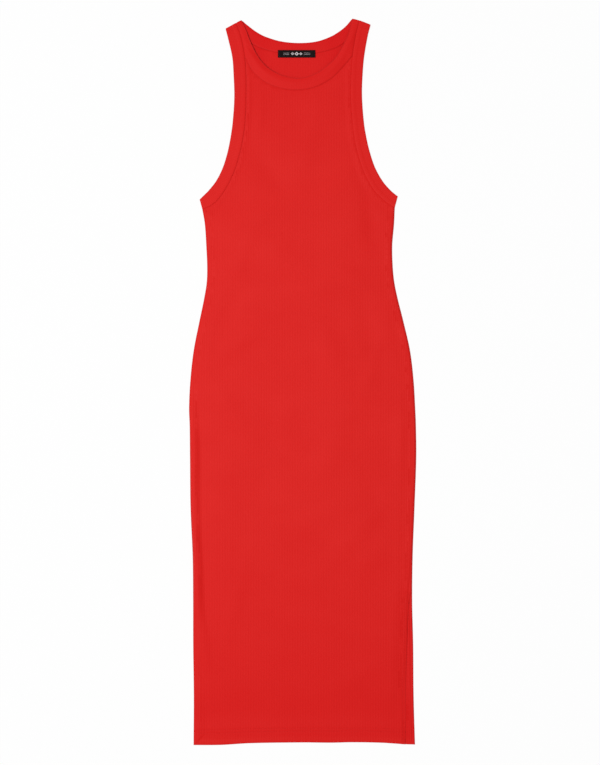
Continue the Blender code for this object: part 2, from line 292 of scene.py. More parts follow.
def nearest(tree, points):
    """Which of a tree's points is nearest to each point, and how far it is."""
    found = [tree.find((x, height, 0.0)) for x, height in points.tolist()]
    return np.array([hit[1] for hit in found]), np.array([hit[2] for hit in found])


class Cut:
    """A panel's outline, with the points of its edge and of the cloth inside it."""

    def __init__(self, face, rib_columns):
        self.outline, self.kinds, self.corners = panel_outline(face)
        self.inward = inward_of(self.outline)
        seams = self.kinds == SEAM_EDGE
        self.outline[seams] -= self.inward[seams] * SEAM_LAP
        self.shares = self.soft_shares(self.kinds)
        self.tree = tree_of(self.outline)
        self.columns = rib_columns
        self.crossings = self.find_crossings(rib_columns)
        self.edge, self.edge_inward = self.choose_edge()

    def soft_shares(self, kinds):
        """How far each outline point belongs to each kind of edge, blended near the corners."""
        reach = round(6.0 / EDGE_STEP)
        window = np.hanning(2 * reach + 3)[1:-1]
        shares = np.zeros((len(kinds), 4))
        for kind in range(4):
            wrapped = np.pad((kinds == kind).astype(float), reach, mode="wrap")
            shares[:, kind] = np.convolve(wrapped, window / window.sum(), mode="valid")
        return shares

    def near(self, points):
        """Which outline point each point is nearest to, and how far it is from the outline."""
        index, away = nearest(self.tree, points)
        start = self.outline[index]
        for beside in (index - 1, (index + 1) % len(self.outline)):
            run = self.outline[beside] - start
            share = ((points - start) * run).sum(axis=1) / (run**2).sum(axis=1)
            foot = start + np.clip(share, 0.0, 1.0)[:, None] * run
            away = np.minimum(away, np.linalg.norm(points - foot, axis=1))
        return index, away

    def find_crossings(self, columns):
        """Where the outline crosses upright columns: place along it, column and height."""
        start, end = self.outline, np.roll(self.outline, -1, axis=0)
        count = np.arange(len(columns))
        from_column = np.interp(start[:, 0], columns, count)
        to_column = np.interp(end[:, 0], columns, count)
        found = []
        for index in np.nonzero(np.floor(from_column) != np.floor(to_column))[0]:
            low, high = sorted((from_column[index], to_column[index]))
            for column in range(math.floor(low) + 1, math.floor(high) + 1):
                reach = to_column[index] - from_column[index]
                share = (column - from_column[index]) / reach
                height = start[index, 1] + share * (end[index, 1] - start[index, 1])
                found.append((index + share, column, height))
        return np.array(sorted(found))

    def choose_edge(self):
        """Edge points: the corners, the places where ribs run out, and one every few millimetres."""
        closest, widest = 0.34, 3.0
        count = len(self.outline)
        distance = travelled(np.concatenate((self.outline, self.outline[:1])))
        spaced = np.interp(np.arange(0.0, distance[-1], widest), distance, np.arange(count + 1))
        places = [(float(place), True) for place in self.corners]
        places += [(float(place), False) for place in (*self.crossings[:, 0], *spaced)]
        kept = []
        for place, corner in sorted(places):
            if place >= count:
                continue
            near = kept and np.interp(place, np.arange(count + 1), distance) - kept[-1][1] < closest
            if near and not corner:
                continue
            if near and not kept[-1][2]:
                kept.pop()
            kept.append((place, np.interp(place, np.arange(count + 1), distance), corner))
        places = np.array([place for place, _, _ in kept])
        low = np.floor(places).astype(int)
        share = (places - low)[:, None]
        high = (low + 1) % count
        points = self.outline[low] * (1 - share) + self.outline[high] * share
        inward = self.inward[low] * (1 - share) + self.inward[high] * share
        return points, inward / np.linalg.norm(inward, axis=1)[:, None]

    def rings(self, depths):
        """Points just inside the edge, where the cloth's thickness turns over."""
        found = []
        for depth in depths:
            ring = self.edge + self.edge_inward * depth
            index, away = self.near(ring)
            inside = ((ring - self.outline[index]) * self.inward[index]).sum(axis=1) > 0
            found.append(ring[inside & (away > depth * 0.94)])
        return np.concatenate(found)

    def grid(self, columns, heights, clear, region=None):
        """Points on upright columns, at given heights, that lie inside and clear of the edge."""
        found = []
        crossings = self.find_crossings(columns)
        for column, x in enumerate(columns.tolist()):
            crossed = np.sort(crossings[crossings[:, 1] == column, 2])
            if len(crossed) < 2:
                continue
            line = bowed(np.full(len(heights), x), heights)
            inside = np.searchsorted(crossed, line) % 2 == 1
            found.append(np.c_[np.full(inside.sum(), x), line[inside]])
        found = np.concatenate(found)
        if region is not None:
            found = found[region(found[:, 0], found[:, 1])]
        return found[self.near(found)[1] > clear]


def rib_columns(low, high):
    """The x of every line of points, several to a rib, between two limits."""
    first, last = math.floor(low / RIB), math.ceil(high / RIB)
    return np.array([(rib + share) * RIB for rib in range(first, last) for share in RIB_SAMPLES])


def skin(edge_count, points):
    """Triangles over points whose first ones are the loop round them."""
    loop = [list(range(edge_count))]
    made = delaunay_2d_cdt([tuple(point) for point in points.tolist()], [], loop, 1, 1e-6, True)
    _, _, faces, sources = made[:4]
    names = [source[0] for source in sources]
    triangles = np.array([[names[corner] for corner in face] for face in faces])
    a, b, c = (points[triangles[:, corner]] for corner in range(3))
    turn = (b - a)[:, 0] * (c - a)[:, 1] - (b - a)[:, 1] * (c - a)[:, 0]
    triangles[turn < 0] = triangles[turn < 0][:, ::-1]
    first, second, third = triangles.T
    inside = (first < second) & (second < third)
    inside |= (second < third) & (third < first)
    inside |= (third < first) & (first < second)
    return triangles[inside | (triangles.max(axis=1) >= edge_count)]


def new_piece(
    name, points, faces, wales, material, replaced=None, deep=0.0, turned=0.0
):
    """A shown piece from points in millimetres.

    wales holds the places of its points along its own courses and ribs, deep how far its colour is tinted
    to a deeper red for painted shade and the knit's wrong side, and turned how far painted shade darkens it
    near its edges and seams.
    """
    mesh = bpy.data.meshes.new(name)
    placed = np.array(points, float)
    placed[:, 1] -= LENGTH / 2
    mesh.from_pydata((placed * MM).tolist(), [], [list(face) for face in faces])
    mesh.validate()
    knit = mesh.attributes.new("knit", "FLOAT_VECTOR", "POINT")
    held = np.zeros((len(placed), 3), np.float32)
    held[:, :2] = np.asarray(wales, float)[:, :2] * MM
    held[:, 2] = deep
    knit.data.foreach_set("vector", held.ravel())
    by_edge = mesh.attributes.new("turned", "FLOAT", "POINT")
    by_edge.data.foreach_set("value", np.broadcast_to(np.float32(turned), len(placed)).ravel())
    mesh.shade_smooth()
    mesh.materials.append(material)
    piece = bpy.data.objects.new(name, mesh)
    bpy.context.scene.collection.objects.link(piece)
    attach(piece, "root")
    if replaced:
        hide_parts(replaced)
    return piece


# How far painted shade darkens the colour at each kind of edge and seam, and over how many millimetres
HEM_SHADE, SIDE_SHADE, SLIT_SHADE, SEAM_SHADE = 0.3, 0.75, 0.3, 0.16
SHADE_REACH = 1.8
NECK_MIDDLE = -9.0


def painted_shade_depth(height):
    """Painted shade: darker towards the hem and, a little, towards the shoulders, with a painted highlight
    over the hem's bottom few millimetres.
    """
    to_hem = 0.62 * np.clip(1 - height / 400.0, 0.0, 1.0) ** 1.2
    fold = 0.45 * (1 - smooth((height - 3.0) / 14.0))
    return to_hem - fold + 0.42 * smooth((height - 860.0) / 280.0)


def inside_shade_and_wrong_side(x, height):
    """Darker inside the dress: partly the deeper red of the knit's wrong side and partly painted shade,
    most at the sides of the neck beside the front band.
    """
    to_sides = smooth((np.abs(x - NECK_MIDDLE) - 34.0) / 36.0)
    return 0.22 + 0.48 * to_sides * smooth((height - 600.0) / 200.0)


def close_panel(name, cut, outer, inner, outer_level, inner_level, outer_up, material):
    """A panel of cloth: its outer and inner skins, each over its own points, joined at the edge."""
    count = len(cut.edge)
    skins = []
    deep, turned = [], []
    for inside, level in ((outer, outer_level), (inner, inner_level)):
        points = np.concatenate((cut.edge, inside))
        index, away = cut.near(points)
        away[:count] = 0.0
        share = cut.shares[index].T
        z = level(points[:, 0], points[:, 1], away, share)
        # Painted shade that darkens the colour along each kind of edge and seam.
        edge_shade_amount = HEM_SHADE * share[HEM_EDGE] + SIDE_SHADE * share[SIDE_EDGE]
        edge_shade_amount = edge_shade_amount + SLIT_SHADE * share[SLIT_EDGE] + SEAM_SHADE * share[SEAM_EDGE]
        turned.append(edge_shade_amount * (1 - smooth(away / SHADE_REACH)))
        # Painted shade towards the hem and the shoulders.
        deep.append(painted_shade_depth(points[:, 1]))
        skins.append((points, z, skin(count, points)))
    points = np.concatenate([np.c_[flat, z] for flat, z, _ in skins])
    start = len(skins[0][0])
    top, bottom = skins[0][2], skins[1][2] + start
    here = np.arange(count)
    there = np.roll(here, -1)
    if outer_up:
        bottom = bottom[:, ::-1]
        rim = np.c_[here + start, there + start, there, here]
    else:
        top = top[:, ::-1]
        rim = np.c_[here, there, there + start, here + start]
    faces = top.tolist() + bottom.tolist() + rim.tolist()
    # The inner skin is darker: partly the knit's wrong side, partly painted shade inside the dress.
    deep[1] += inside_shade_and_wrong_side(*skins[1][0].T)
    deep = np.clip(np.concatenate(deep), 0.0, 1.0)
    turned = np.concatenate(turned)
    replaced = name.removesuffix("_knit")
    return new_piece(name, points, faces, points, material, replaced, deep=deep, turned=turned)


class Nodes:
    """Shorthand for wiring a material's nodes."""

    def __init__(self, name):
        self.material = bpy.data.materials.new(name)
        self.material.use_nodes = True
        self.tree = self.material.node_tree
        self.shader = self.tree.nodes["Principled BSDF"]

    def join(self, source, socket):
        """Wires an output to an input, or sets the input if source is a plain value."""
        if isinstance(source, bpy.types.NodeSocket):
            self.tree.links.new(source, socket)
        else:
            socket.default_value = source

    def math(self, operation, first, second=0.0, third=0.0):
        """One step of arithmetic."""
        node = self.tree.nodes.new("ShaderNodeMath")
        node.operation = operation
        for source, socket in zip((first, second, third), node.inputs):
            self.join(source, socket)
        return node.outputs[0]

    def knit_place(self):
        """Across and along the ribs, in metres, and how far the colour is tinted to a deeper red for
        painted shade and the knit's wrong side.
        """
        place = self.tree.nodes.new("ShaderNodeAttribute")
        place.attribute_name = "knit"
        parts = self.tree.nodes.new("ShaderNodeSeparateXYZ")
        self.join(place.outputs["Vector"], parts.inputs[0])
        return parts.outputs

    def painted_edge_shade(self):
        """How much painted shade darkens the cloth by an edge or seam, from 0 to 1."""
        place = self.tree.nodes.new("ShaderNodeAttribute")
        place.attribute_name = "turned"
        return place.outputs["Fac"]

    def noise(self, x, y, across, lengthwise, detail=2.0):
        """Noise with so many waves a metre across and along, from about 0.3 to 0.7."""
        place = self.tree.nodes.new("ShaderNodeCombineXYZ")
        self.join(self.math("MULTIPLY", x, across), place.inputs[0])
        self.join(self.math("MULTIPLY", y, lengthwise), place.inputs[1])
        noise = self.tree.nodes.new("ShaderNodeTexNoise")
        noise.inputs["Scale"].default_value = 1.0
        noise.inputs["Detail"].default_value = detail
        self.join(place.outputs[0], noise.inputs["Vector"])
        return noise.outputs["Fac"]

    def spread(self, value, low, high):
        """A value that runs from about 0.3 to 0.7, mapped to run from low to high."""
        node = self.tree.nodes.new("ShaderNodeMapRange")
        self.join(value, node.inputs["Value"])
        node.inputs["From Min"].default_value = 0.3
        node.inputs["From Max"].default_value = 0.7
        node.inputs["To Min"].default_value = low
        node.inputs["To Max"].default_value = high
        return node.outputs["Result"]

    def tint(self, factor, first, second):
        """A colour between two, by a factor from 0 to 1."""
        node = self.tree.nodes.new("ShaderNodeMix")
        node.data_type = "RGBA"
        self.join(factor, node.inputs["Factor"])
        self.join((*first, 1.0) if isinstance(first, tuple) else first, node.inputs[6])
        self.join((*second, 1.0) if isinstance(second, tuple) else second, node.inputs[7])
        return node.outputs[2]

    def bump(self, height, distance, strength=1.0):
        """Relief of the surface, by a height from about 0 to 1."""
        node = self.tree.nodes.new("ShaderNodeBump")
        node.inputs["Distance"].default_value = distance
        node.inputs["Strength"].default_value = strength
        self.join(height, node.inputs["Height"])
        self.join(node.outputs["Normal"], self.shader.inputs["Normal"])


def rib_knit(name):
    """Matt red rib knit: V-shaped stitches up each rib, uneven dye and a little loose fibre, with painted
    shade in the rib valleys, along edges and seams, inside the dress and towards the hem and shoulders.
    """
    stitch = 1.15 * MM
    red, pale_red = (0.632, 0.0093, 0.0073), (0.660, 0.0133, 0.0104)
    # Red for painted shade and for the knit's deeper wrong side
    deep_red = (0.617, 0.0038, 0.0039)
    # Red for painted shade along edges and seams
    edge_shade_red = (0.46, 0.0084, 0.0078)
    nodes = Nodes(name)
    x, y, deep = nodes.knit_place()
    across = nodes.math("FRACT", nodes.math("DIVIDE", x, RIB * MM))
    off_rib = nodes.math("MULTIPLY", nodes.math("ABSOLUTE", nodes.math("SUBTRACT", across, 0.5)), 2.0)
    on_rib = nodes.math("SUBTRACT", 1.0, nodes.math("POWER", off_rib, 3.0))
    slant = nodes.math("MULTIPLY_ADD", off_rib, 0.55, nodes.math("DIVIDE", y, stitch))
    leg = nodes.math("SINE", nodes.math("MULTIPLY", slant, math.tau))
    groove = nodes.math("POWER", nodes.math("SUBTRACT", 1.0, off_rib), 4.0)
    fibre = nodes.noise(x, y, 5200.0, 5200.0)
    loops = nodes.math("MULTIPLY", leg, nodes.math("MULTIPLY", on_rib, 0.5))
    height = nodes.math("SUBTRACT", loops, nodes.math("MULTIPLY", groove, 0.6))
    height = nodes.math("MULTIPLY_ADD", fibre, 0.9, height)
    nodes.bump(height, 0.10 * MM, 0.55)
    streaks = nodes.spread(nodes.noise(x, y, 410.0, 2.2), 0.0, 1.0)
    clouds = nodes.spread(nodes.noise(x, y, 13.0, 17.0, 3.0), 0.0, 1.0)
    dye = nodes.math("MULTIPLY_ADD", streaks, 0.3, nodes.math("MULTIPLY", clouds, 0.6))
    colour = nodes.tint(dye, red, pale_red)
    # Painted shade, and the deeper red of the knit's wrong side inside the dress.
    colour = nodes.tint(deep, colour, deep_red)
    # Painted shade along edges and seams.
    colour = nodes.tint(nodes.painted_edge_shade(), colour, edge_shade_red)
    # Painted shade in the valleys between the ribs.
    valley = nodes.math("MULTIPLY", nodes.math("POWER", off_rib, 5.0), 0.5)
    nodes.join(nodes.tint(valley, colour, deep_red), nodes.shader.inputs["Base Color"])
    nodes.join(nodes.spread(fibre, 0.52, 0.66), nodes.shader.inputs["Roughness"])
    nodes.shader.inputs["Specular IOR Level"].default_value = 0.112
    nodes.shader.inputs["Sheen Weight"].default_value = 0.04
    nodes.shader.inputs["Sheen Roughness"].default_value = 0.5
    nodes.shader.inputs["Sheen Tint"].default_value = (1.0, 0.25, 0.2, 1.0)
    return nodes.material


red_knit = rib_knit("red_rib_knit")


def hem_doubling(height):
    """1 where the hem's two plies lie together, softly falling to 0 above its raw edge."""
    return 1 - smooth((height - HEM_DEPTH + 1.0) / 24.0)


def ply(doubled):
    """Thickness of the cloth, from one ply at 0 to two pressed together at 1."""
    return CLOTH + (DOUBLE - CLOTH) * doubled


def thinned(away, reach, left_over):
    """Share of the thickness that is left near an edge that turns over within a reach."""
    return left_over + (1 - left_over) * rounded(away / reach)


EDGE_REACH = 0.95  # width over which the back's edge thins out
EDGE_PLY = 0.45  # share of the thickness left at the very edge

# Soft waves: middle, turn from upright in degrees, half length, half width and height
Wave = namedtuple("Wave", "x height turn length width rise")
BACK_WAVES = (
    Wave(-96.0, 786.0, 24.0, 64.0, 15.0, 0.80),
    Wave(74.0, 752.0, -52.0, 70.0, 14.0, 0.70),
    Wave(-30.0, 668.0, 74.0, 84.0, 13.0, 0.75),
    Wave(112.0, 610.0, 18.0, 62.0, 12.0, 0.60),
    Wave(-120.0, 548.0, -34.0, 66.0, 15.0, 0.85),
    Wave(28.0, 500.0, 58.0, 78.0, 16.0, 0.70),
    Wave(-64.0, 390.0, -68.0, 72.0, 13.0, 0.60),
    Wave(96.0, 352.0, 40.0, 80.0, 15.0, 0.80),
    Wave(-104.0, 240.0, 14.0, 66.0, 12.0, 0.55),
    Wave(22.0, 196.0, -76.0, 86.0, 14.0, 0.60),
    Wave(-10.0, 930.0, 66.0, 52.0, 14.0, 0.55),
)


def mounds(waves, x, height):
    """Height that a table of waves adds: each is a long soft mound, or a trough."""
    lift = np.zeros(len(x))
    for wave in waves:
        turn = math.radians(wave.turn)
        lengthwise = (x - wave.x) * math.sin(turn) + (height - wave.height) * math.cos(turn)
        across = (x - wave.x) * math.cos(turn) - (height - wave.height) * math.sin(turn)
        lift += wave.rise * np.exp(-((lengthwise / wave.length) ** 2) - (across / wave.width) ** 2)
    return lift


def back_lift(x, height):
    """How far the back stands off the surface in its waves."""
    return mounds(BACK_WAVES, x, height)


NECK_OPENING = 1036.0  # height above which the inside of the back shows
SLIT_SIDE = 150.0  # right of this it shows too, beside the slit
SLIT_SHOWS = 264.0  # up to this height
BACK_SLIT_TURN = 0.42  # thickness that the slit's turned edge adds to the back
BACK_SLIT_STITCH = 4.6  # from the back's edge to the stitching that holds the turned edge


def back_inner(x, height, away, share):
    """Upper face of the back, which shows inside the neck and beside the slit."""
    full = ply(hem_doubling(unbowed(x, height)))
    turned_width, stitch_dip = 7.2, 0.55
    by_slit = share[SIDE_EDGE] * (x > 100) * smooth((SLIT_TOP - height) / 40)
    full = full + BACK_SLIT_TURN * by_slit * smooth((turned_width - away) / 1.6)
    full = full - stitch_dip * by_slit * np.exp(-(((away - BACK_SLIT_STITCH) / 0.9) ** 2))
    by_neck = smooth((height - NECK_OPENING - 4.0) / 12.0)
    beside_strip = smooth((x - SLIT_SIDE - 2.0) / 5.0) * (height < SLIT_SHOWS - 2.0)
    shown = np.maximum(by_neck, beside_strip)
    ribs = 0.8 * RIB_DEPTH * (1 - rib_height(x)) * smooth(away / 2.5) * shown
    return back_lift(x, height) + full * thinned(away, EDGE_REACH, EDGE_PLY) - ribs


def back_outer(x, height, away, share):
    """Under face of the back, which is the dress's right side and lies on the surface."""
    ribs = RIB_DEPTH * (1 - rib_height(x)) * np.maximum(share[HEM_EDGE], smooth(away / 2.0))
    return back_lift(x, height) + ribs + 0.14 * (1 - rounded(away / EDGE_REACH))


HEM_COURSES = (2.6, 5.0, 7.5, 10.0, 12.5, 15.0, 17.8, 18.6, 19.4, 20.2, 21.0)
HEM_COURSES += (22.8, 23.6, 24.4, 25.2, 26.0, 28.5, 32.5)
courses = np.array([*HEM_COURSES, *np.arange(38.0, 1150.0, COURSE_STEP)])
side_courses = np.concatenate((courses[courses > 36] + 3.0, courses[courses > 36] + 6.0))
SIDE_REACH = 8.5  # width beside a side edge that has more courses, as the cloth falls away there
RING_DEPTHS = (0.16, 0.42, 0.95)  # of the rows of points that follow the edge, where it turns over
RING_CLEAR = 1.35  # between the edge and the nearest point of the ribs
HIDDEN_CLEAR = 3.0  # the same on a face that another piece hides
PANEL_REACH = 186.0  # from the centre line, past both sides

back_cut = Cut("back", rib_columns(-PANEL_REACH, PANEL_REACH))
back_rings = back_cut.rings(RING_DEPTHS)
hidden_columns = np.arange(-180.0, 181.0, 12.0)
hidden_courses = np.arange(8.0, 1130.0, 12.0)


def beside_back_edge(x, height):
    """Near one of the sides, where more courses are needed."""
    left, right = sides_at(height)
    return (x < left + SIDE_REACH) | (x > right - SIDE_REACH)


def beside_opening(x, height):
    """Where the inside of the back shows."""
    return (height > NECK_OPENING) | ((x > SLIT_SIDE) & (height < SLIT_SHOWS))


def covered(x, height):
    """Where the front hides the inside of the back."""
    return ~beside_opening(x, height)


def beside_slit(x, height):
    """On the strip of the back that shows along the slit."""
    return (x > SLIT_SIDE) & beside_back_edge(x, height)


back_inside = np.concatenate(
    (
        back_rings,
        back_cut.grid(back_cut.columns, courses, RING_CLEAR, beside_opening),
        back_cut.grid(back_cut.columns, side_courses[side_courses < SLIT_SHOWS], RING_CLEAR, beside_slit),
        back_cut.grid(hidden_columns, hidden_courses, HIDDEN_CLEAR, covered),
    )
)
back_outside = np.concatenate(
    (
        back_rings,
        back_cut.grid(back_cut.columns, courses, RING_CLEAR),
        back_cut.grid(back_cut.columns, side_courses, RING_CLEAR, beside_back_edge),
    )
)
back = close_panel(
    "back_panel_knit", back_cut, back_outside, back_inside, back_outer, back_inner, False, red_knit
)


def outward_faces(piece):
    """Turns a closed piece's faces to look outwards."""
    shell = bmesh.new()
    shell.from_mesh(piece.data)
    bmesh.ops.recalc_face_normals(shell, faces=shell.faces)
    shell.to_mesh(piece.data)
    shell.free()
    piece.data.update()


HEM_STITCHES = (19.4, 24.4)  # heights of the two rows that hold the hem
SLIT_ROW_FOOT = 6.0  # height at which the rows beside the slit start
STITCH_LENGTH = 2.5
STITCH_PITCH = 3.0
THREAD = 0.2  # radius


def thread_material():
    """Red polyester sewing thread, twisted."""
    nodes = Nodes("red_thread")
    x, y, _ = nodes.knit_place()
    turn = 0.45 * MM
    twist = nodes.math("MULTIPLY", nodes.math("ADD", x, y), math.tau / turn)
    twist = nodes.math("SINE", twist)
    nodes.bump(twist, 0.04 * MM, 0.6)
    shade = nodes.spread(nodes.noise(x, y, 60.0, 60.0), 0.0, 1.0)
    colour = nodes.tint(shade, (0.56, 0.0070, 0.0065), (0.61, 0.0090, 0.0080))
    nodes.join(colour, nodes.shader.inputs["Base Color"])
    nodes.shader.inputs["Roughness"].default_value = 0.6
    nodes.shader.inputs["Specular IOR Level"].default_value = 0.2
    return nodes.material


red_thread = thread_material()
CAPSULE = ((-0.5, 0.0), (-0.44, 0.62), (-0.26, 1.0), (0.26, 1.0), (0.44, 0.62), (0.5, 0.0))
CAPSULE_SIDES = 6


def stitches(name, lines, material, length=STITCH_LENGTH, thread=THREAD):
    """Threads as short rounded rods: one from each point of a line towards its next."""
    points, faces, knit = [], [], []
    ring = [math.tau * corner / CAPSULE_SIDES for corner in range(CAPSULE_SIDES)]
    for middle, direction, face in lines:
        direction, face = np.array(direction, float), np.array(face, float)
        direction = direction / np.linalg.norm(direction)
        sideways = np.cross(face, direction)
        sideways = sideways / np.linalg.norm(sideways)
        first = len(points)
        for share, girth in CAPSULE:
            dip = -0.5 * thread * (2 * share) ** 4
            spot = np.array(middle) + direction * share * length + face * dip
            if girth == 0.0:
                points.append(spot)
                knit.append((share * length, 0.0, 0.0))
                continue
            for angle in ring:
                points.append(spot + (sideways * math.cos(angle) + face * math.sin(angle)) * thread * girth)
                knit.append((share * length, angle * thread, 0.0))
        rings = len(CAPSULE) - 2
        for corner in range(CAPSULE_SIDES):
            after = (corner + 1) % CAPSULE_SIDES
            faces.append((first, first + 1 + after, first + 1 + corner))
            for number in range(rings - 1):
                low = first + 1 + number * CAPSULE_SIDES
                high = low + CAPSULE_SIDES
                faces.append((low + corner, low + after, high + after, high + corner))
            last = first + 1 + rings * CAPSULE_SIDES
            low = last - CAPSULE_SIDES
            faces.append((low + corner, low + after, last))
    piece = new_piece(name, np.array(points), faces, knit, material)
    outward_faces(piece)
    return piece


def level_on(cut, level, points):
    """Level of a panel's face under given points."""
    index, away = cut.near(points)
    return level(points[:, 0], points[:, 1], away, cut.shares[index].T)


def taken_at(wanted, place, points):
    """Rows of values at the wanted places along a line, from its points and their places."""
    return np.array([np.interp(wanted, place, column) for column in points.T]).T


def thread_line(points, z, up, lift):
    """Middles and directions of the stitches along a line of points."""
    place = travelled(points)
    wanted = np.arange(STITCH_PITCH / 2, place[-1] - STITCH_PITCH / 2, STITCH_PITCH)
    level = np.interp(wanted, place, z) + up * lift
    flat = taken_at(wanted, place, points)
    run = taken_at(wanted + 0.5, place, points) - taken_at(wanted - 0.5, place, points)
    return [
        ((x, height, here), (*step, 0.0), (0.0, 0.0, up))
        for (x, height), here, step in zip(flat, level, run)
    ]


def hem_line(above, inset=0.0):
    """Points along the hem at a distance above it, to an inset from its right end."""
    end_clear = 1.6
    left, right = sides_at(np.array([above]))
    x = np.arange(left[0] + end_clear, right[0] - inset - end_clear, 1.0)
    return np.c_[x, bowed(x, np.full(len(x), above))]


back_hem = []
for above in HEM_STITCHES:
    line = hem_line(above)
    back_hem += thread_line(line, np.full(len(line), THREAD + 0.01), -1.0, 0.0)
back_hem_stitches = stitches("back_hem_stitches", back_hem, red_thread)

back_slit_heights = np.arange(SLIT_ROW_FOOT, SLIT_TOP - 30.0, 1.0)
back_slit_line = np.c_[sides_at(back_slit_heights)[1] - BACK_SLIT_STITCH, back_slit_heights]
back_slit_level = level_on(back_cut, back_inner, back_slit_line)
back_slit_threads = thread_line(back_slit_line, back_slit_level, 1.0, 0.04)
back_slit_stitches = stitches("back_slit_stitches", back_slit_threads, red_thread)

# ----------------------------------------------------------------------------------- front panel
# The front is cut from the same rib knit and hemmed the same way. It is sewn to the back at both
# sides, but its right edge is free below the top of the slit, turned in and held by one row of
# thread. Laid down by hand, it keeps a few waves.


def raised(x, height):
    """How much of the back bands' extra thickness lifts the front here, from 0 to 1."""
    hold, fall = 3.0, 9.0
    lift = np.zeros(len(x))
    high = np.nonzero(height > 830)[0]
    _, away = nearest(back_seams, np.c_[x[high], height[high]])
    over_neck = height[high] > np.interp(x[high], back_neck_line[:, 0], back_neck_line[:, 1])
    lift[high] = np.where(over_neck, 1.0, 1 - smooth((away - hold) / fall))
    return lift


back_arms = {side: along(ARMHOLES[side], EDGE_STEP) for side in ARMHOLES}
back_neck_line = along(
    [
        ARMHOLES["left"][0][2:],
        ARMHOLES["left"][1][2:],
        *NECK_SEAMS["back"],
        ARMHOLES["right"][1][2:],
        ARMHOLES["right"][0][2:],
    ],
    EDGE_STEP,
)
back_seams = tree_of(np.concatenate((back_neck_line, *(arm[:, 2:] for arm in back_arms.values()))))


def over_back(x, height):
    """Level of the under face of what lies on the back, higher over its bands."""
    return GAP + ply(raised(x, height))


# Creases that follow an edge: height, place and strength of each at a few points
Crease = namedtuple("Crease", "height x strength")
LEFT_GROOVE = (
    Crease(108.0, -139.4, 0.0),
    Crease(150.0, -143.8, 0.24),
    Crease(184.0, -148.6, 0.40),
    Crease(216.0, -154.0, 0.66),
    Crease(248.0, -155.6, 1.0),
    Crease(288.0, -157.1, 1.0),
    Crease(336.0, -159.8, 1.0),
    Crease(384.0, -161.2, 0.85),
    Crease(432.0, -161.4, 0.92),
    Crease(480.0, -161.8, 0.86),
    Crease(528.0, -164.8, 0.55),
    Crease(572.0, -167.4, 0.0),
)
RIGHT_ROLL = (
    Crease(210.0, 167.0, 0.0),
    Crease(244.0, 169.6, 1.0),
    Crease(270.0, 171.6, 0.9),
    Crease(310.0, 174.2, 0.4),
    Crease(350.0, 176.2, 0.0),
)

WAVES = (
    Wave(-108.0, 872.0, 66.0, 34.0, 11.0, -1.35),
    Wave(-74.0, 842.0, 70.0, 60.0, 16.0, 1.35),
    Wave(-145.5, 806.0, 0.0, 38.0, 3.2, -0.54),
    Wave(110.0, 842.0, -8.0, 54.0, 15.0, -1.53),
    Wave(20.0, 736.0, 88.0, 74.0, 15.0, 1.71),
    Wave(-40.0, 790.0, -66.0, 56.0, 18.0, 1.08),
    Wave(-112.0, 700.0, 30.0, 40.0, 15.0, -0.9),
    Wave(-104.0, 644.0, 52.0, 52.0, 17.0, 1.71),
    Wave(46.0, 624.0, -20.0, 56.0, 20.0, 1.35),
    Wave(108.0, 660.0, -14.0, 62.0, 17.0, -1.08),
    Wave(-50.0, 508.0, 6.0, 66.0, 20.0, -1.15),
    Wave(50.0, 486.0, 24.0, 62.0, 24.0, 1.22),
    Wave(156.0, 486.0, 2.0, 52.0, 12.0, 0.94),
    Wave(108.0, 420.0, -22.0, 50.0, 18.0, -0.62),
    Wave(-80.0, 366.0, 86.0, 70.0, 5.0, -0.19),
    Wave(-96.0, 430.0, -50.0, 40.0, 15.0, 0.57),
    Wave(8.0, 350.0, 64.0, 80.0, 20.0, 0.58),
    Wave(112.0, 300.0, 34.0, 74.0, 18.0, 0.54),
    Wave(-84.0, 268.0, -58.0, 64.0, 18.0, 0.5),
    Wave(36.0, 232.0, 76.0, 80.0, 17.0, -0.45),
    Wave(-38.0, 156.0, -80.0, 82.0, 18.0, 0.5),
    Wave(92.0, 112.0, 62.0, 60.0, 15.0, 0.42),
    Wave(8.0, 960.0, 14.0, 80.0, 22.0, 0.99),
    Wave(-50.0, 912.0, -34.0, 54.0, 16.0, -0.81),
    Wave(46.0, 886.0, 40.0, 60.0, 18.0, 0.9),
    Wave(-70.0, 1004.0, 8.0, 40.0, 10.0, 0.63),
)


def follow(creases, x, height):
    """Distance from a crease that runs beside an edge, right of it above 0, and its strength."""
    heights = [crease.height for crease in creases]
    row = curve_at(heights, creases, np.clip(height, heights[0], heights[-1]))
    return x - row[:, 1], np.clip(row[:, 2], 0.0, 1.0)


def groove_lift(x, height):
    """The roll left of the groove beside the skirt's left edge, and the easy rise right of it."""
    away, strength = follow(LEFT_GROOVE, x, height)
    roll, roll_wide, roll_reach = 5.2, 10.0, 24.0
    rise, rise_wide, rise_reach = 1.6, 26.0, 60.0
    left = roll * (1 - np.exp(-((away / roll_wide) ** 2))) * np.exp(-((away / roll_reach) ** 2))
    right = rise * (1 - np.exp(-((away / rise_wide) ** 2))) * np.exp(-((away / rise_reach) ** 2))
    return strength * np.where(away < 0, left, right)


def roll_dip(x, height):
    """The line of the side seam where it has rolled on to the front, above the slit."""
    away, strength = follow(RIGHT_ROLL, x, height)
    return 0.55 * strength * np.exp(-((away / 1.3) ** 2))


SLIT_STITCH = 5.2  # from the free edge to the stitching that holds it
STITCH_SINK = 0.1  # depth of the dip along a row of stitches


def sink(distance, wide=0.95):
    """Narrow dip that a line of stitches pulls into the cloth."""
    return STITCH_SINK * np.exp(-((distance / wide) ** 2))


def clear_rise(height):
    """Even rise under the waves, so that their troughs stay above the back."""
    return 1.5 * smooth((height - 40) / 60) * smooth((930 - height) / 60)


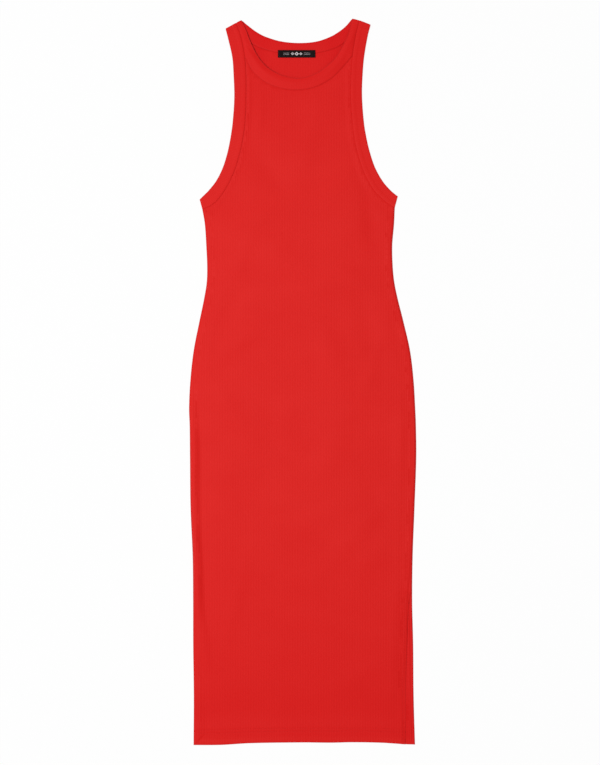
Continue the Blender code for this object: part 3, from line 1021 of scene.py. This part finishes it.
def lie(x, height, away, share):
    """Level of the front's under face where it is not thinned, over the back and its waves."""
    above_hem = unbowed(x, height)
    base = GAP + ply(np.maximum(hem_doubling(above_hem), raised(x, height)))
    settled = smooth((above_hem - 26.0) / 30.0)
    loft = 0.9 * share[SIDE_EDGE] * smooth(away / 3.6) * (1 - smooth((away - 5.0) / 17.0))
    slack = settled * smooth(away / 25.0) * (clear_rise(height) + mounds(WAVES, x, height))
    groove = settled * groove_lift(x, height) * smooth(away / 5.0)
    near_slit = share[SLIT_EDGE] * (1 - smooth((away - 3.0) / 8.0))
    return base + back_lift(x, height) + slack + groove + loft - 0.2 * near_slit


def corner_press(x, height):
    """How much thinner the front is pressed beside its free edge, more towards the hem."""
    pressed, wide = 0.5, 26.0
    from_edge = sides_at(height)[1] - slit_inset(height) - x
    return pressed * (1 - smooth((from_edge - 3.0) / wide)) * smooth((200.0 - height) / 120.0)


def front_outer(x, height, away, share):
    """Upper face of the front: ribs, turned edges and the dips along its stitching."""
    above_hem = unbowed(x, height)
    full = ply(hem_doubling(above_hem))
    slit_turn = share[SLIT_EDGE] * (1 - smooth((away - SLIT_STITCH - 0.2) / 1.6))
    full = full + 0.1 * slit_turn - corner_press(x, height)
    top = lie(x, height, away, share) + full
    pressed = smooth((200.0 - height) / 150.0)  # the slit's edge lies flatter towards the hem
    slit_left = 0.28 - 0.18 * pressed
    slit_turned = (0.4 - 0.3 * pressed) * (1 - rounded(away / 1.4))
    slit_turned = slit_turned + (0.6 + 0.3 * pressed) * (1 - smooth(away / (3.8 + 3.0 * pressed)))
    side_fall, seam_fall, hem_thinned = 1.7, 0.38, 0.50
    fall = (
        side_fall * share[SIDE_EDGE] * (1 - np.clip(away / 3.6, 0.0, 1.0)) ** 2
        + seam_fall * share[SEAM_EDGE] * (1 - smooth(away / 1.7))
        + hem_thinned * full * share[HEM_EDGE] * (1 - rounded(away / 2.2))
        + (full - slit_left) * share[SLIT_EDGE] * slit_turned
    )
    hem_roll = 0.30 * share[HEM_EDGE] * np.exp(-(((away - 4.4) / 2.4) ** 2))
    ribs = RIB_DEPTH * (1 - rib_height(x))
    ribs = ribs * np.maximum(share[HEM_EDGE], smooth(away / (2.0 + 3.5 * share[SEAM_EDGE])))
    stitched = sum(sink(above_hem - line) for line in HEM_STITCHES)
    stitched = stitched + roll_dip(x, height)
    return top - fall - ribs - stitched + hem_roll


def front_inner(x, height, away, share):
    """Under face of the front, which lies on the back."""
    above_hem = unbowed(x, height)
    full = ply(hem_doubling(above_hem))
    change = (
        -0.80 * share[SIDE_EDGE] * (1 - rounded(away / 0.8))
        + 0.20 * full * share[HEM_EDGE] * (1 - rounded(away / 1.1))
        - 0.07 * share[SLIT_EDGE] * (1 - smooth(away / 6.0))
    )
    return lie(x, height, away, share) + change


def beside_front_edge(x, height):
    """Near a side of the front or its free edge along the slit."""
    return beside_back_edge(x, height) | beside_back_edge(x + slit_inset(height), height)


front_cut = Cut("front", back_cut.columns)
front_rings = front_cut.rings(RING_DEPTHS)
front_rows = front_cut.grid(front_cut.columns, courses, RING_CLEAR)
front_side_rows = front_cut.grid(front_cut.columns, side_courses, RING_CLEAR, beside_front_edge)
front_hidden = front_cut.grid(hidden_columns, hidden_courses, HIDDEN_CLEAR)
front = close_panel(
    "front_panel_knit",
    front_cut,
    np.concatenate((front_rings, front_rows, front_side_rows)),
    np.concatenate((front_rings, front_hidden)),
    front_outer,
    front_inner,
    True,
    red_knit,
)

front_hem = []
for above in HEM_STITCHES:
    line = hem_line(above, slit_inset(np.array([above]))[0])
    smooth_level = level_on(front_cut, front_outer, line)
    top = np.convolve(np.pad(smooth_level, 4, mode="edge"), np.full(9, 1 / 9), mode="valid")
    front_hem += thread_line(line, top, 1.0, 0.02)
front_hem_stitches = stitches("front_hem_stitches", front_hem, red_thread)

slit_heights = np.arange(SLIT_ROW_FOOT, SLIT_TOP + 8.0, 1.0)
slit_line = np.c_[sides_at(slit_heights)[1] - slit_inset(slit_heights) - SLIT_STITCH, slit_heights]
slit_threads = thread_line(slit_line, level_on(front_cut, front_outer, slit_line), 1.0, -0.02)
slit_stitches = stitches("slit_stitches", slit_threads, red_thread)

# ------------------------------------------------------------------------------------ armhole bands
# Each armhole is bound with one strip of the rib, folded double lengthwise, its ribs running across
# it. It is sewn on along its inner edge, from the front underarm over the shoulder to the back.

BACK_MIDDLE = DOUBLE / 2
FRONT_MIDDLE = DOUBLE + GAP + DOUBLE / 2
FOLD_RADIUS = (FRONT_MIDDLE - BACK_MIDDLE) / 2
FOLD_REACH = FOLD_RADIUS + DOUBLE / 2
FOLD_STEPS = 24
BAND_RIB_DEPTH = 0.22
ALLOWANCE = 7.0  # seam allowance pressed inside the band
ALLOWANCE_LIFT = 0.2  # that it adds to the band's thickness

# Where the band's lengthwise rows of points lie: from its free edge, and from its seam
NEAR_EDGE = (0.0, 0.07, 0.26, 0.58, 1.0, 1.7, 3.0)
NEAR_SEAM = (8.4, 7.6, 6.8, 6.0, 4.0, 2.0, 1.1, 0.6, 0.28, 0.1, 0.0)


def shoulder_outward(side):
    """Unit vector in the plane of the dress, off the end of a shoulder strap."""
    first = ARMHOLES[side][0]
    run = np.array((first.seam_x - first.edge_x, first.seam_height - first.edge_height))
    outward = np.array((-run[1], run[0])) / np.linalg.norm(run)
    return outward if outward[1] > 0 else -outward


def pulled_in(sections, side):
    """Sections short of the shoulder's fold, then the one at which the fold starts."""
    outward = shoulder_outward(side)
    start = sections[0] - np.tile(outward * FOLD_REACH, 2)
    past = np.maximum((sections[:, :2] - start[:2]) @ outward, (sections[:, 2:] - start[2:]) @ outward)
    return np.concatenate((start[None], sections[past < -0.3]))


class Strip:
    """Sections along a band: edge and seam points, middle level and the way its face looks."""

    def __init__(self):
        self.edge, self.seam, self.level, self.face, self.front = [], [], [], [], []

    def lay(self, sections, level, up):
        """Sections that lie flat at one level, looking up or down."""
        for section in sections:
            self.edge.append(section[:2])
            self.seam.append(section[2:])
            self.level.append(level)
            self.face.append((0.0, 0.0, up))
            self.front.append(float(up > 0))

    def fold(self, section, side, backwards=False):
        """Turns the strip over the shoulder, from front to back or the other way."""
        outward = shoulder_outward(side)
        turns = np.linspace(0.0, math.pi, FOLD_STEPS + 1)
        for turn in turns[::-1] if backwards else turns:
            shift = outward * FOLD_RADIUS * math.sin(turn)
            self.edge.append(section[:2] + shift)
            self.seam.append(section[2:] + shift)
            self.level.append(BACK_MIDDLE + FOLD_RADIUS * (1 + math.cos(turn)))
            self.face.append((*(outward * math.sin(turn)), math.cos(turn)))
            self.front.append(float(turn < math.pi / 2))

    def at_ribs(self, rib, closed=False):
        """The same strip with its sections where the ribs need them, and their places along it."""
        edge, seam, level = (np.array(rows, float) for rows in (self.edge, self.seam, self.level))
        face, front = np.array(self.face, float), np.array(self.front)
        middle = np.c_[(edge + seam) / 2, level]
        fresh = np.concatenate(([True], np.linalg.norm(np.diff(middle, axis=0), axis=1) > 1e-6))
        edge, seam, level, face, front, middle = (
            rows[fresh] for rows in (edge, seam, level, face, front, middle)
        )
        place = travelled(middle)
        count = round(place[-1] / rib)
        share = np.array([number + part for number in range(count) for part in RIB_SAMPLES])
        if not closed:
            share = np.append(share, count)
        wanted = share / count * place[-1]
        columns = np.c_[edge, seam, level, face, front]
        got = taken_at(wanted, place, columns)
        got[:, 5:8] /= np.linalg.norm(got[:, 5:8], axis=1)[:, None]
        return got, share * RIB, wanted, place[-1]


def band_mesh(name, got, places, ends, closed, level_of=None, tilt=None):
    """A doubled strip: a closed profile swept along the sections.

    The neck band is given the level of what it lies on and how far its free edge lifts. Its free
    edge is rounder and its seam deeper than an armhole band's.
    """
    is_neck = level_of is not None
    edge_round, seam_left = (4.6, 0.30) if is_neck else (1.9, 0.70)
    edge, seam, level, face = got[:, 0:2], got[:, 2:4], got[:, 4], got[:, 5:8]
    run = seam - edge
    width = np.linalg.norm(run, axis=1)
    run = run / width[:, None]
    width = width + SEAM_LAP
    middle_shares = (0.25, 0.5, 0.75)
    near, far = np.array(NEAR_EDGE), np.array(NEAR_SEAM)
    least_middle = 0.9  # a narrow strip has its columns by the seam closer together
    squeeze = np.minimum(1.0, (width - near[-1] - least_middle) / far[0])
    columns = [np.full(len(width), distance) for distance in near]
    columns += [near[-1] + (width - far[0] * squeeze - near[-1]) * share for share in middle_shares]
    columns += [width - distance * squeeze for distance in far]
    across = np.array(columns).T
    place = np.repeat(places[:, None], across.shape[1], axis=1)
    ribs = BAND_RIB_DEPTH * (1 - rib_height(place))
    from_seam = width[:, None] - across
    ribs = ribs * smooth(across / 1.2) * smooth(from_seam / 1.6)
    free_edge = 0.3 + 0.7 * (1 - (1 - np.clip(across / edge_round, 0.0, 1.0)) ** 2)
    half = DOUBLE / 2 * free_edge * (seam_left + (1 - seam_left) * smooth(from_seam / 1.7))
    end = rounded(ends / 1.6)[:, None]
    half = half * (0.3 + 0.7 * end)
    lift = ALLOWANCE_LIFT * smooth((ALLOWANCE + 0.5 - from_seam) / 1.5) * smooth(from_seam / 1.4)
    on_front = smooth((level - BACK_MIDDLE - 1.2) / 0.6)[:, None]
    outer = half - ribs * end + (0.0 if is_neck else lift * end * on_front)
    inner = half - ribs * end
    x = edge[:, None, 0] + run[:, None, 0] * across
    height = edge[:, None, 1] + run[:, None, 1] * across
    flat = np.stack((x, height), axis=-1)
    middle = np.repeat(level[:, None], across.shape[1], axis=1)
    if is_neck:
        front = got[:, 8] > 0.999
        shape = flat[front].shape[:2]
        lifted = level_of(flat[front].reshape(-1, 2)).reshape(shape)
        lies_flat = np.abs(face[front, 2]) > 0.999
        middle[front] = np.where(lies_flat[:, None], lifted, middle[front])
    middle = middle - 0.55 * (1 - end) * (level > FRONT_MIDDLE - 0.7)[:, None]
    if tilt is not None:
        stand = np.clip(from_seam / width[:, None], 0.0, 1.0) ** 1.25
        roll_off = 0.62 * (1 - smooth(across / 9.5))
        middle = middle + tilt[:, None] * (stand - roll_off)
    centre = np.concatenate((flat, middle[..., None]), axis=-1)
    above = centre + face[:, None, :] * outer[..., None]
    below = centre - face[:, None, :] * inner[..., None]
    inner_columns = list(range(across.shape[1] - 1, 0, -1))
    loop = np.concatenate((above, below[:, inner_columns]), axis=1)
    across_loop = np.concatenate((across, across[:, inner_columns]), axis=1)
    rows, size = loop.shape[:2]
    index = np.arange(rows * size).reshape(rows, size)
    following = np.roll(index, -1, axis=0) if closed else index[1:]
    here = index if closed else index[:-1]
    quads = np.stack(
        (here, following, np.roll(following, -1, axis=1), np.roll(here, -1, axis=1)), axis=-1
    ).reshape(-1, 4)
    faces = quads.tolist()
    if not closed:
        faces += [index[0].tolist(), index[-1, ::-1].tolist()]
    points = loop.reshape(-1, 3)
    knit = np.c_[np.repeat(places, size), across_loop.ravel()]
    # The band's layer that lies inside is darker: partly the knit's wrong side, partly painted shade.
    inside = np.repeat(1 - smooth((level - BACK_MIDDLE) / 1.6), size) * inside_shade_and_wrong_side(*points.T[:2])
    # A little painted shade over the whole neck band, on top of the painted shade towards the shoulders.
    deep = np.clip(painted_shade_depth(points[:, 1]) + inside + (0.12 if is_neck else 0.0), 0.0, 1.0)
    seam_loop = (width[:, None] - across_loop).ravel()
    # Painted shade along the band's free edge, and a painted seam shadow, strongest on the neck band.
    turned = SIDE_SHADE * (1 - smooth(across_loop.ravel() / SHADE_REACH))
    turned = turned + (0.6 if is_neck else 0.15) * (1 - smooth(seam_loop / SHADE_REACH))
    replaced = name.removesuffix("_knit")
    piece = new_piece(name, points, faces, knit, red_knit, replaced, deep=deep, turned=turned)
    outward_faces(piece)
    return piece


for side in ARMHOLES:
    strip = Strip()
    sections = pulled_in(back_arms[side], side)
    strip.lay(sections[:0:-1], FRONT_MIDDLE, 1.0)
    strip.fold(sections[0], side)
    strip.lay(sections[1:], BACK_MIDDLE, -1.0)
    got, places, wanted, total = strip.at_ribs(RIB)
    to_end = np.minimum(wanted, total - wanted)
    band = band_mesh(f"armhole_band_{side}_knit", got, places, to_end, False)

# ----------------------------------------------------------------------------------------- neck band
# The neck is bound with the same doubled strip, joined into a ring. Its front lies over the front
# panel's top, and it folds over at both shoulders on to the higher back of the neck. Two short
# rows of thread cross it at each shoulder.

NECK_EDGES = {
    "front": (
        (-98.0, 1160.4),
        (-91.2, 1145.6),
        (-84.4, 1127.4),
        (-75.2, 1108.0),
        (-65.4, 1093.5),
        (-53.0, 1081.9),
        (-32.3, 1071.4),
        (-4.4, 1067.0),
        (21.4, 1074.6),
        (40.6, 1088.0),
        (51.8, 1098.9),
        (59.8, 1110.8),
        (66.2, 1123.2),
        (72.2, 1136.2),
        (79.6, 1162.9),
    ),
    "back": (
        (-98.0, 1160.4),
        (-88.7, 1152.4),
        (-73.8, 1141.3),
        (-60.2, 1134.0),
        (-35.4, 1126.4),
        (-6.6, 1123.6),
        (22.2, 1126.0),
        (45.4, 1134.1),
        (61.4, 1144.0),
        (70.5, 1151.9),
        (79.6, 1162.9),
    ),
}
NECK_TIP_ROWS = {"front": (3, 11), "back": (1, 9)}  # edge rows that face the panels' points


def evenly(points, count):
    """A line of points taken again at an even count of places."""
    place = travelled(points)
    return taken_at(np.linspace(0.0, place[-1], count), place, points)


def neck_sections(face):
    """Edge and seam points of the neck band on one face, left shoulder to right shoulder."""
    left_tip, right_tip = NECK_TIP_ROWS[face]
    tip = TIP_ROWS[face]
    strap_count, front_count = 120, 700
    fine = EDGE_STEP / 2
    straps = {side: along(ARMHOLES[side], fine, 0, tip)[:, 2:] for side in ARMHOLES}
    across = along([straps["left"][-1], *NECK_SEAMS[face], straps["right"][-1]], fine)
    seams = (straps["left"], across, straps["right"][::-1])
    edges = (
        along(NECK_EDGES[face], fine, 0, left_tip),
        along(NECK_EDGES[face], fine, left_tip, right_tip),
        along(NECK_EDGES[face], fine, right_tip),
    )
    rows = []
    for edge, seam, count in zip(edges, seams, (strap_count, front_count, strap_count)):
        rows.append(np.c_[evenly(edge, count), evenly(seam, count)][:-1])
    rows.append(np.c_[edges[-1][-1:], seams[-1][-1:]])
    return np.concatenate(rows)


def front_band_level(points):
    """Middle level of the front neck band, higher where it lies on the back bands."""
    return over_back(*points.T) + DOUBLE / 2


neck_front, neck_back = neck_sections("front"), neck_sections("back")
from_left = {"front": pulled_in(neck_front, "left"), "back": pulled_in(neck_back, "left")}
both = {face: pulled_in(rows[::-1], "right")[::-1] for face, rows in from_left.items()}
neck = Strip()
neck.lay(both["front"][1:-1], FRONT_MIDDLE, 1.0)
neck.fold(both["front"][-1], "right")
neck.lay(both["back"][-2:0:-1], BACK_MIDDLE, -1.0)
neck.fold(both["front"][0], "left", backwards=True)
neck.lay(both["front"][1:2], FRONT_MIDDLE, 1.0)
got, places, wanted, neck_total = neck.at_ribs(RIB, closed=True)
on_front = got[:, 8] > 0.999
front_length = wanted[on_front & (wanted < neck_total * 0.9)].max()
from_fold = np.minimum(wanted, front_length - wanted)
by_strap, eased = 4.1, 2.5  # how far the free edge stands off, and how much less at the middle
tilt = smooth(from_fold / 30.0) * (by_strap - eased * smooth((from_fold - 60.0) / 80.0))
tilt = np.where(on_front & (from_fold > 0), tilt, 0.0)
far_from_ends = np.full(len(got), 99.0)  # a ring has no ends
neck_band = band_mesh(
    "neck_band_knit", got, places, far_from_ends, True, front_band_level, tilt
)

SHOULDER_STITCHES = (6.0, 8.4)  # how far the two rows lie below the fold at the shoulder
outer_clear, inner_clear = 1.6, 1.2  # that they stop short of the strap's two edges
shoulder = []
for side in ARMHOLES:
    outward = shoulder_outward(side)
    outer_end = np.array(ARMHOLES[side][0][:2])
    inner_end = np.array(NECK_EDGES["front"][0 if side == "left" else -1])
    for below in SHOULDER_STITCHES:
        start, end = outer_end - outward * below, inner_end - outward * below
        run = (end - start) / np.linalg.norm(end - start)
        start, end = start + run * outer_clear, end - run * inner_clear
        count = int(np.linalg.norm(end - start) / EDGE_STEP)
        line = start + (end - start) * np.linspace(0, 1, count)[:, None]
        shoulder += thread_line(line, np.full(count, FRONT_MIDDLE + DOUBLE / 2), 1.0, 0.0)
shoulder_stitches = stitches("shoulder_stitches", shoulder, red_thread)

# ------------------------------------------------------------------------------------------- label
# A black woven ribbon label lies across the back neck seam, inside. Its ends are folded under and
# tacked down. Its pale woven marks are a plain row of lozenges and dashes that say nothing.

LABEL_WIDTH = 60.0
LABEL_DEPTH = 12.0
LABEL_THICK = 0.9
LABEL_X = -9.5
LABEL_HEIGHT = 1106.0
TACK_INSET = 1.8  # from the label's ends to the stitches that hold them
TACK_REACH = 4.9  # from the label's middle line, each way
TACK_SINK = 0.12


def label_weave():
    """Black satin weave with a pale figure woven in it, all from its own coordinates."""
    nodes = Nodes("black_woven_label")
    x, y, _ = nodes.knit_place()
    u = nodes.math("DIVIDE", x, MM)
    v = nodes.math("DIVIDE", y, MM)
    off_u = nodes.math("ABSOLUTE", u)
    off_v = nodes.math("ABSOLUTE", v)

    def inside(value, limit):
        """1 below a limit and 0 above it."""
        return nodes.math("LESS_THAN", value, limit)

    def lozenge(centre, half_wide, half_high):
        """A hollow lozenge on the middle line of the label."""
        wide = nodes.math("DIVIDE", nodes.math("ABSOLUTE", nodes.math("SUBTRACT", u, centre)), half_wide)
        high = nodes.math("DIVIDE", off_v, half_high)
        size = nodes.math("ADD", wide, high)
        outer = inside(size, 1.0)
        hollow = nodes.math("GREATER_THAN", size, 0.42)
        return nodes.math("MULTIPLY", outer, hollow)

    figure = lozenge(0.0, 3.6, 3.0)
    for centre in (-6.6, 6.6):
        figure = nodes.math("MAXIMUM", figure, lozenge(centre, 2.6, 2.2))
    dash_row = nodes.math("LESS_THAN", nodes.math("ABSOLUTE", nodes.math("SUBTRACT", off_v, 1.15)), 0.36)
    dash = nodes.math("LESS_THAN", nodes.math("FRACT", nodes.math("DIVIDE", u, 1.9)), 0.66)
    zone = nodes.math("MULTIPLY", nodes.math("GREATER_THAN", off_u, 11.6), inside(off_u, 21.5))
    dashes = nodes.math("MULTIPLY", nodes.math("MULTIPLY", dash_row, dash), zone)
    figure = nodes.math("MAXIMUM", figure, nodes.math("MULTIPLY", dashes, 0.7))
    warp = nodes.math("SINE", nodes.math("MULTIPLY", u, math.tau / 0.34))
    weft = nodes.math("SINE", nodes.math("MULTIPLY", v, math.tau / 0.22))
    weave = nodes.math("MULTIPLY_ADD", warp, weft, nodes.math("MULTIPLY", figure, 1.2))
    nodes.bump(weave, 0.03 * MM, 0.7)
    shade = nodes.spread(nodes.noise(x, y, 900.0, 3000.0), 0.0, 1.0)
    black = nodes.tint(shade, (0.0036, 0.0012, 0.0014), (0.0070, 0.0024, 0.0028))
    pale = nodes.tint(shade, (0.42, 0.38, 0.39), (0.66, 0.62, 0.63))
    nodes.join(nodes.tint(figure, black, pale), nodes.shader.inputs["Base Color"])
    nodes.join(nodes.spread(shade, 0.5, 0.62), nodes.shader.inputs["Roughness"])
    nodes.shader.inputs["Specular IOR Level"].default_value = 0.08
    return nodes.material


def label_mesh():
    """A ribbon with its ends folded under, closer rows of points by its edges."""
    end_rows, side_rows = np.array([0, 0.05, 0.18, 0.4, 0.8]), np.array([0, 0.05, 0.16, 0.4])
    across = np.r_[end_rows, np.linspace(1.6, LABEL_WIDTH - 1.6, 64), LABEL_WIDTH - end_rows[::-1]]
    down = np.r_[side_rows, np.linspace(0.9, LABEL_DEPTH - 0.9, 14), LABEL_DEPTH - side_rows[::-1]]
    u, v = np.meshgrid(across - LABEL_WIDTH / 2, down - LABEL_DEPTH / 2)
    x, height = LABEL_X + u, LABEL_HEIGHT + v
    bottom = over_back(x.ravel(), height.ravel()).reshape(x.shape)
    from_end = LABEL_WIDTH / 2 - np.abs(u)
    from_side = LABEL_DEPTH / 2 - np.abs(v)
    full = LABEL_THICK * (0.72 + 0.28 * (1 - smooth((from_end - 5.0) / 1.2)))
    turned = rounded(from_end / 0.45) * (0.35 + 0.65 * rounded(from_side / 0.3))
    slack = 0.25 * np.sin(math.pi * np.clip((u / LABEL_WIDTH + 0.5), 0, 1)) ** 2 * np.cos(u / 9.0 + 0.6)
    tacked = 0.25 * np.exp(-(((from_end - TACK_INSET) / 0.7) ** 2))
    top = bottom + full * turned + 0.1 * (slack + 0.25) - tacked
    under = bottom + 0.1 * (1 - turned)
    points = np.concatenate(
        [np.c_[x.ravel(), height.ravel(), z.ravel()] for z in (top, np.minimum(under, top - 0.02))]
    )
    knit = np.tile(np.c_[u.ravel(), v.ravel(), np.zeros(u.size)], (2, 1))
    index = np.arange(u.size).reshape(u.shape)
    quads = np.stack((index[:-1, :-1], index[:-1, 1:], index[1:, 1:], index[1:, :-1]), -1).reshape(-1, 4)
    rim = np.concatenate((index[0, :-1], index[:-1, -1], index[-1, :0:-1], index[:0:-1, 0]))
    around = np.roll(rim, -1)
    faces = quads.tolist() + (quads[:, ::-1] + u.size).tolist()
    faces += np.c_[rim, rim + u.size, around + u.size, around].tolist()
    piece = new_piece("neck_label_woven", points, faces, knit, label_weave(), "neck_label")
    outward_faces(piece)
    return piece


label = label_mesh()

tacks = []
for end in (-1, 1):
    x = LABEL_X + end * (LABEL_WIDTH / 2 - TACK_INSET)
    line = np.c_[np.full(10, x), LABEL_HEIGHT + np.linspace(-TACK_REACH, TACK_REACH, 10)]
    top = over_back(*line.T) + LABEL_THICK - TACK_SINK
    tacks += thread_line(line, top, 1.0, 0.0)


def black_thread():
    """Black sewing thread, a little lighter than the label's ground."""
    nodes = Nodes("black_thread")
    x, y, _ = nodes.knit_place()
    shade = nodes.spread(nodes.noise(x, y, 300.0, 300.0), 0.0, 1.0)
    colour = nodes.tint(shade, (0.012, 0.010, 0.010), (0.03, 0.024, 0.024))
    nodes.join(colour, nodes.shader.inputs["Base Color"])
    nodes.bump(shade, 0.03 * MM, 0.5)
    nodes.shader.inputs["Roughness"].default_value = 0.6
    return nodes.material


label_tacks = stitches("label_tacks", tacks, black_thread(), length=2.3, thread=0.16)

# ------------------------------------------------------------------------------------------- studio
# The dress lies on a plain pale floor under one wide soft lamp and an even sky, seen from straight
# above.

floor_mesh = bpy.data.meshes.new("floor")
FLOOR_REACH = 6.0  # metres each way
FLOOR_CLEAR = 0.0003  # metres below the dress, so that no two faces lie in one plane
FLOOR_CORNERS = ((-1, -1), (1, -1), (1, 1), (-1, 1))
floor_mesh.from_pydata([(x * FLOOR_REACH, y * FLOOR_REACH, 0.0) for x, y in FLOOR_CORNERS], [], [range(4)])
floor = bpy.data.objects.new("floor", floor_mesh)
floor.location.z = -FLOOR_CLEAR
bpy.context.scene.collection.objects.link(floor)
pale = Nodes("pale_floor")
pale.shader.inputs["Base Color"].default_value = (0.05, 0.05, 0.05, 1.0)
pale.shader.inputs["Emission Color"].default_value = (1.0, 1.0, 1.0, 1.0)
pale.shader.inputs["Emission Strength"].default_value = 0.932
pale.shader.inputs["Roughness"].default_value = 0.9
pale.shader.inputs["Specular IOR Level"].default_value = 0.1
floor_mesh.materials.append(pale.material)

world = bpy.data.worlds.new("sky")
bpy.context.scene.world = world
world.use_nodes = True
sky = world.node_tree.nodes["Background"]
sky.inputs["Color"].default_value = (1.0, 1.0, 1.0, 1.0)
sky.inputs["Strength"].default_value = 0.43

soft_lamp = bpy.data.lights.new("soft_lamp", "AREA")
soft_lamp.shape = "DISK"
soft_lamp.size = 1.3
soft_lamp.energy = 80.5
lamp = bpy.data.objects.new("soft_lamp", soft_lamp)
lamp.location = (-1.15, 0.12, 3.1)
lamp.rotation_euler = (-lamp.location).to_track_quat("-Z", "Y").to_euler()
bpy.context.scene.collection.objects.link(lamp)

LENS = 85.0
SENSOR = 36.0
VIEW_HEIGHT = 1.224  # metres of the dress's plane in view, from top to bottom
VIEW_MIDDLE = (-0.00416, -0.00064)  # metres, the point of that plane under the camera
camera_data = bpy.data.cameras.new("camera")
camera_data.lens = LENS
camera_data.sensor_width = SENSOR
camera = bpy.data.objects.new("camera", camera_data)
camera.location = (*VIEW_MIDDLE, VIEW_HEIGHT * LENS / SENSOR + 0.002)
bpy.context.scene.collection.objects.link(camera)
bpy.context.scene.camera = camera

bpy.context.scene.view_settings.view_transform = "Standard"
bpy.context.scene.view_settings.look = "None"
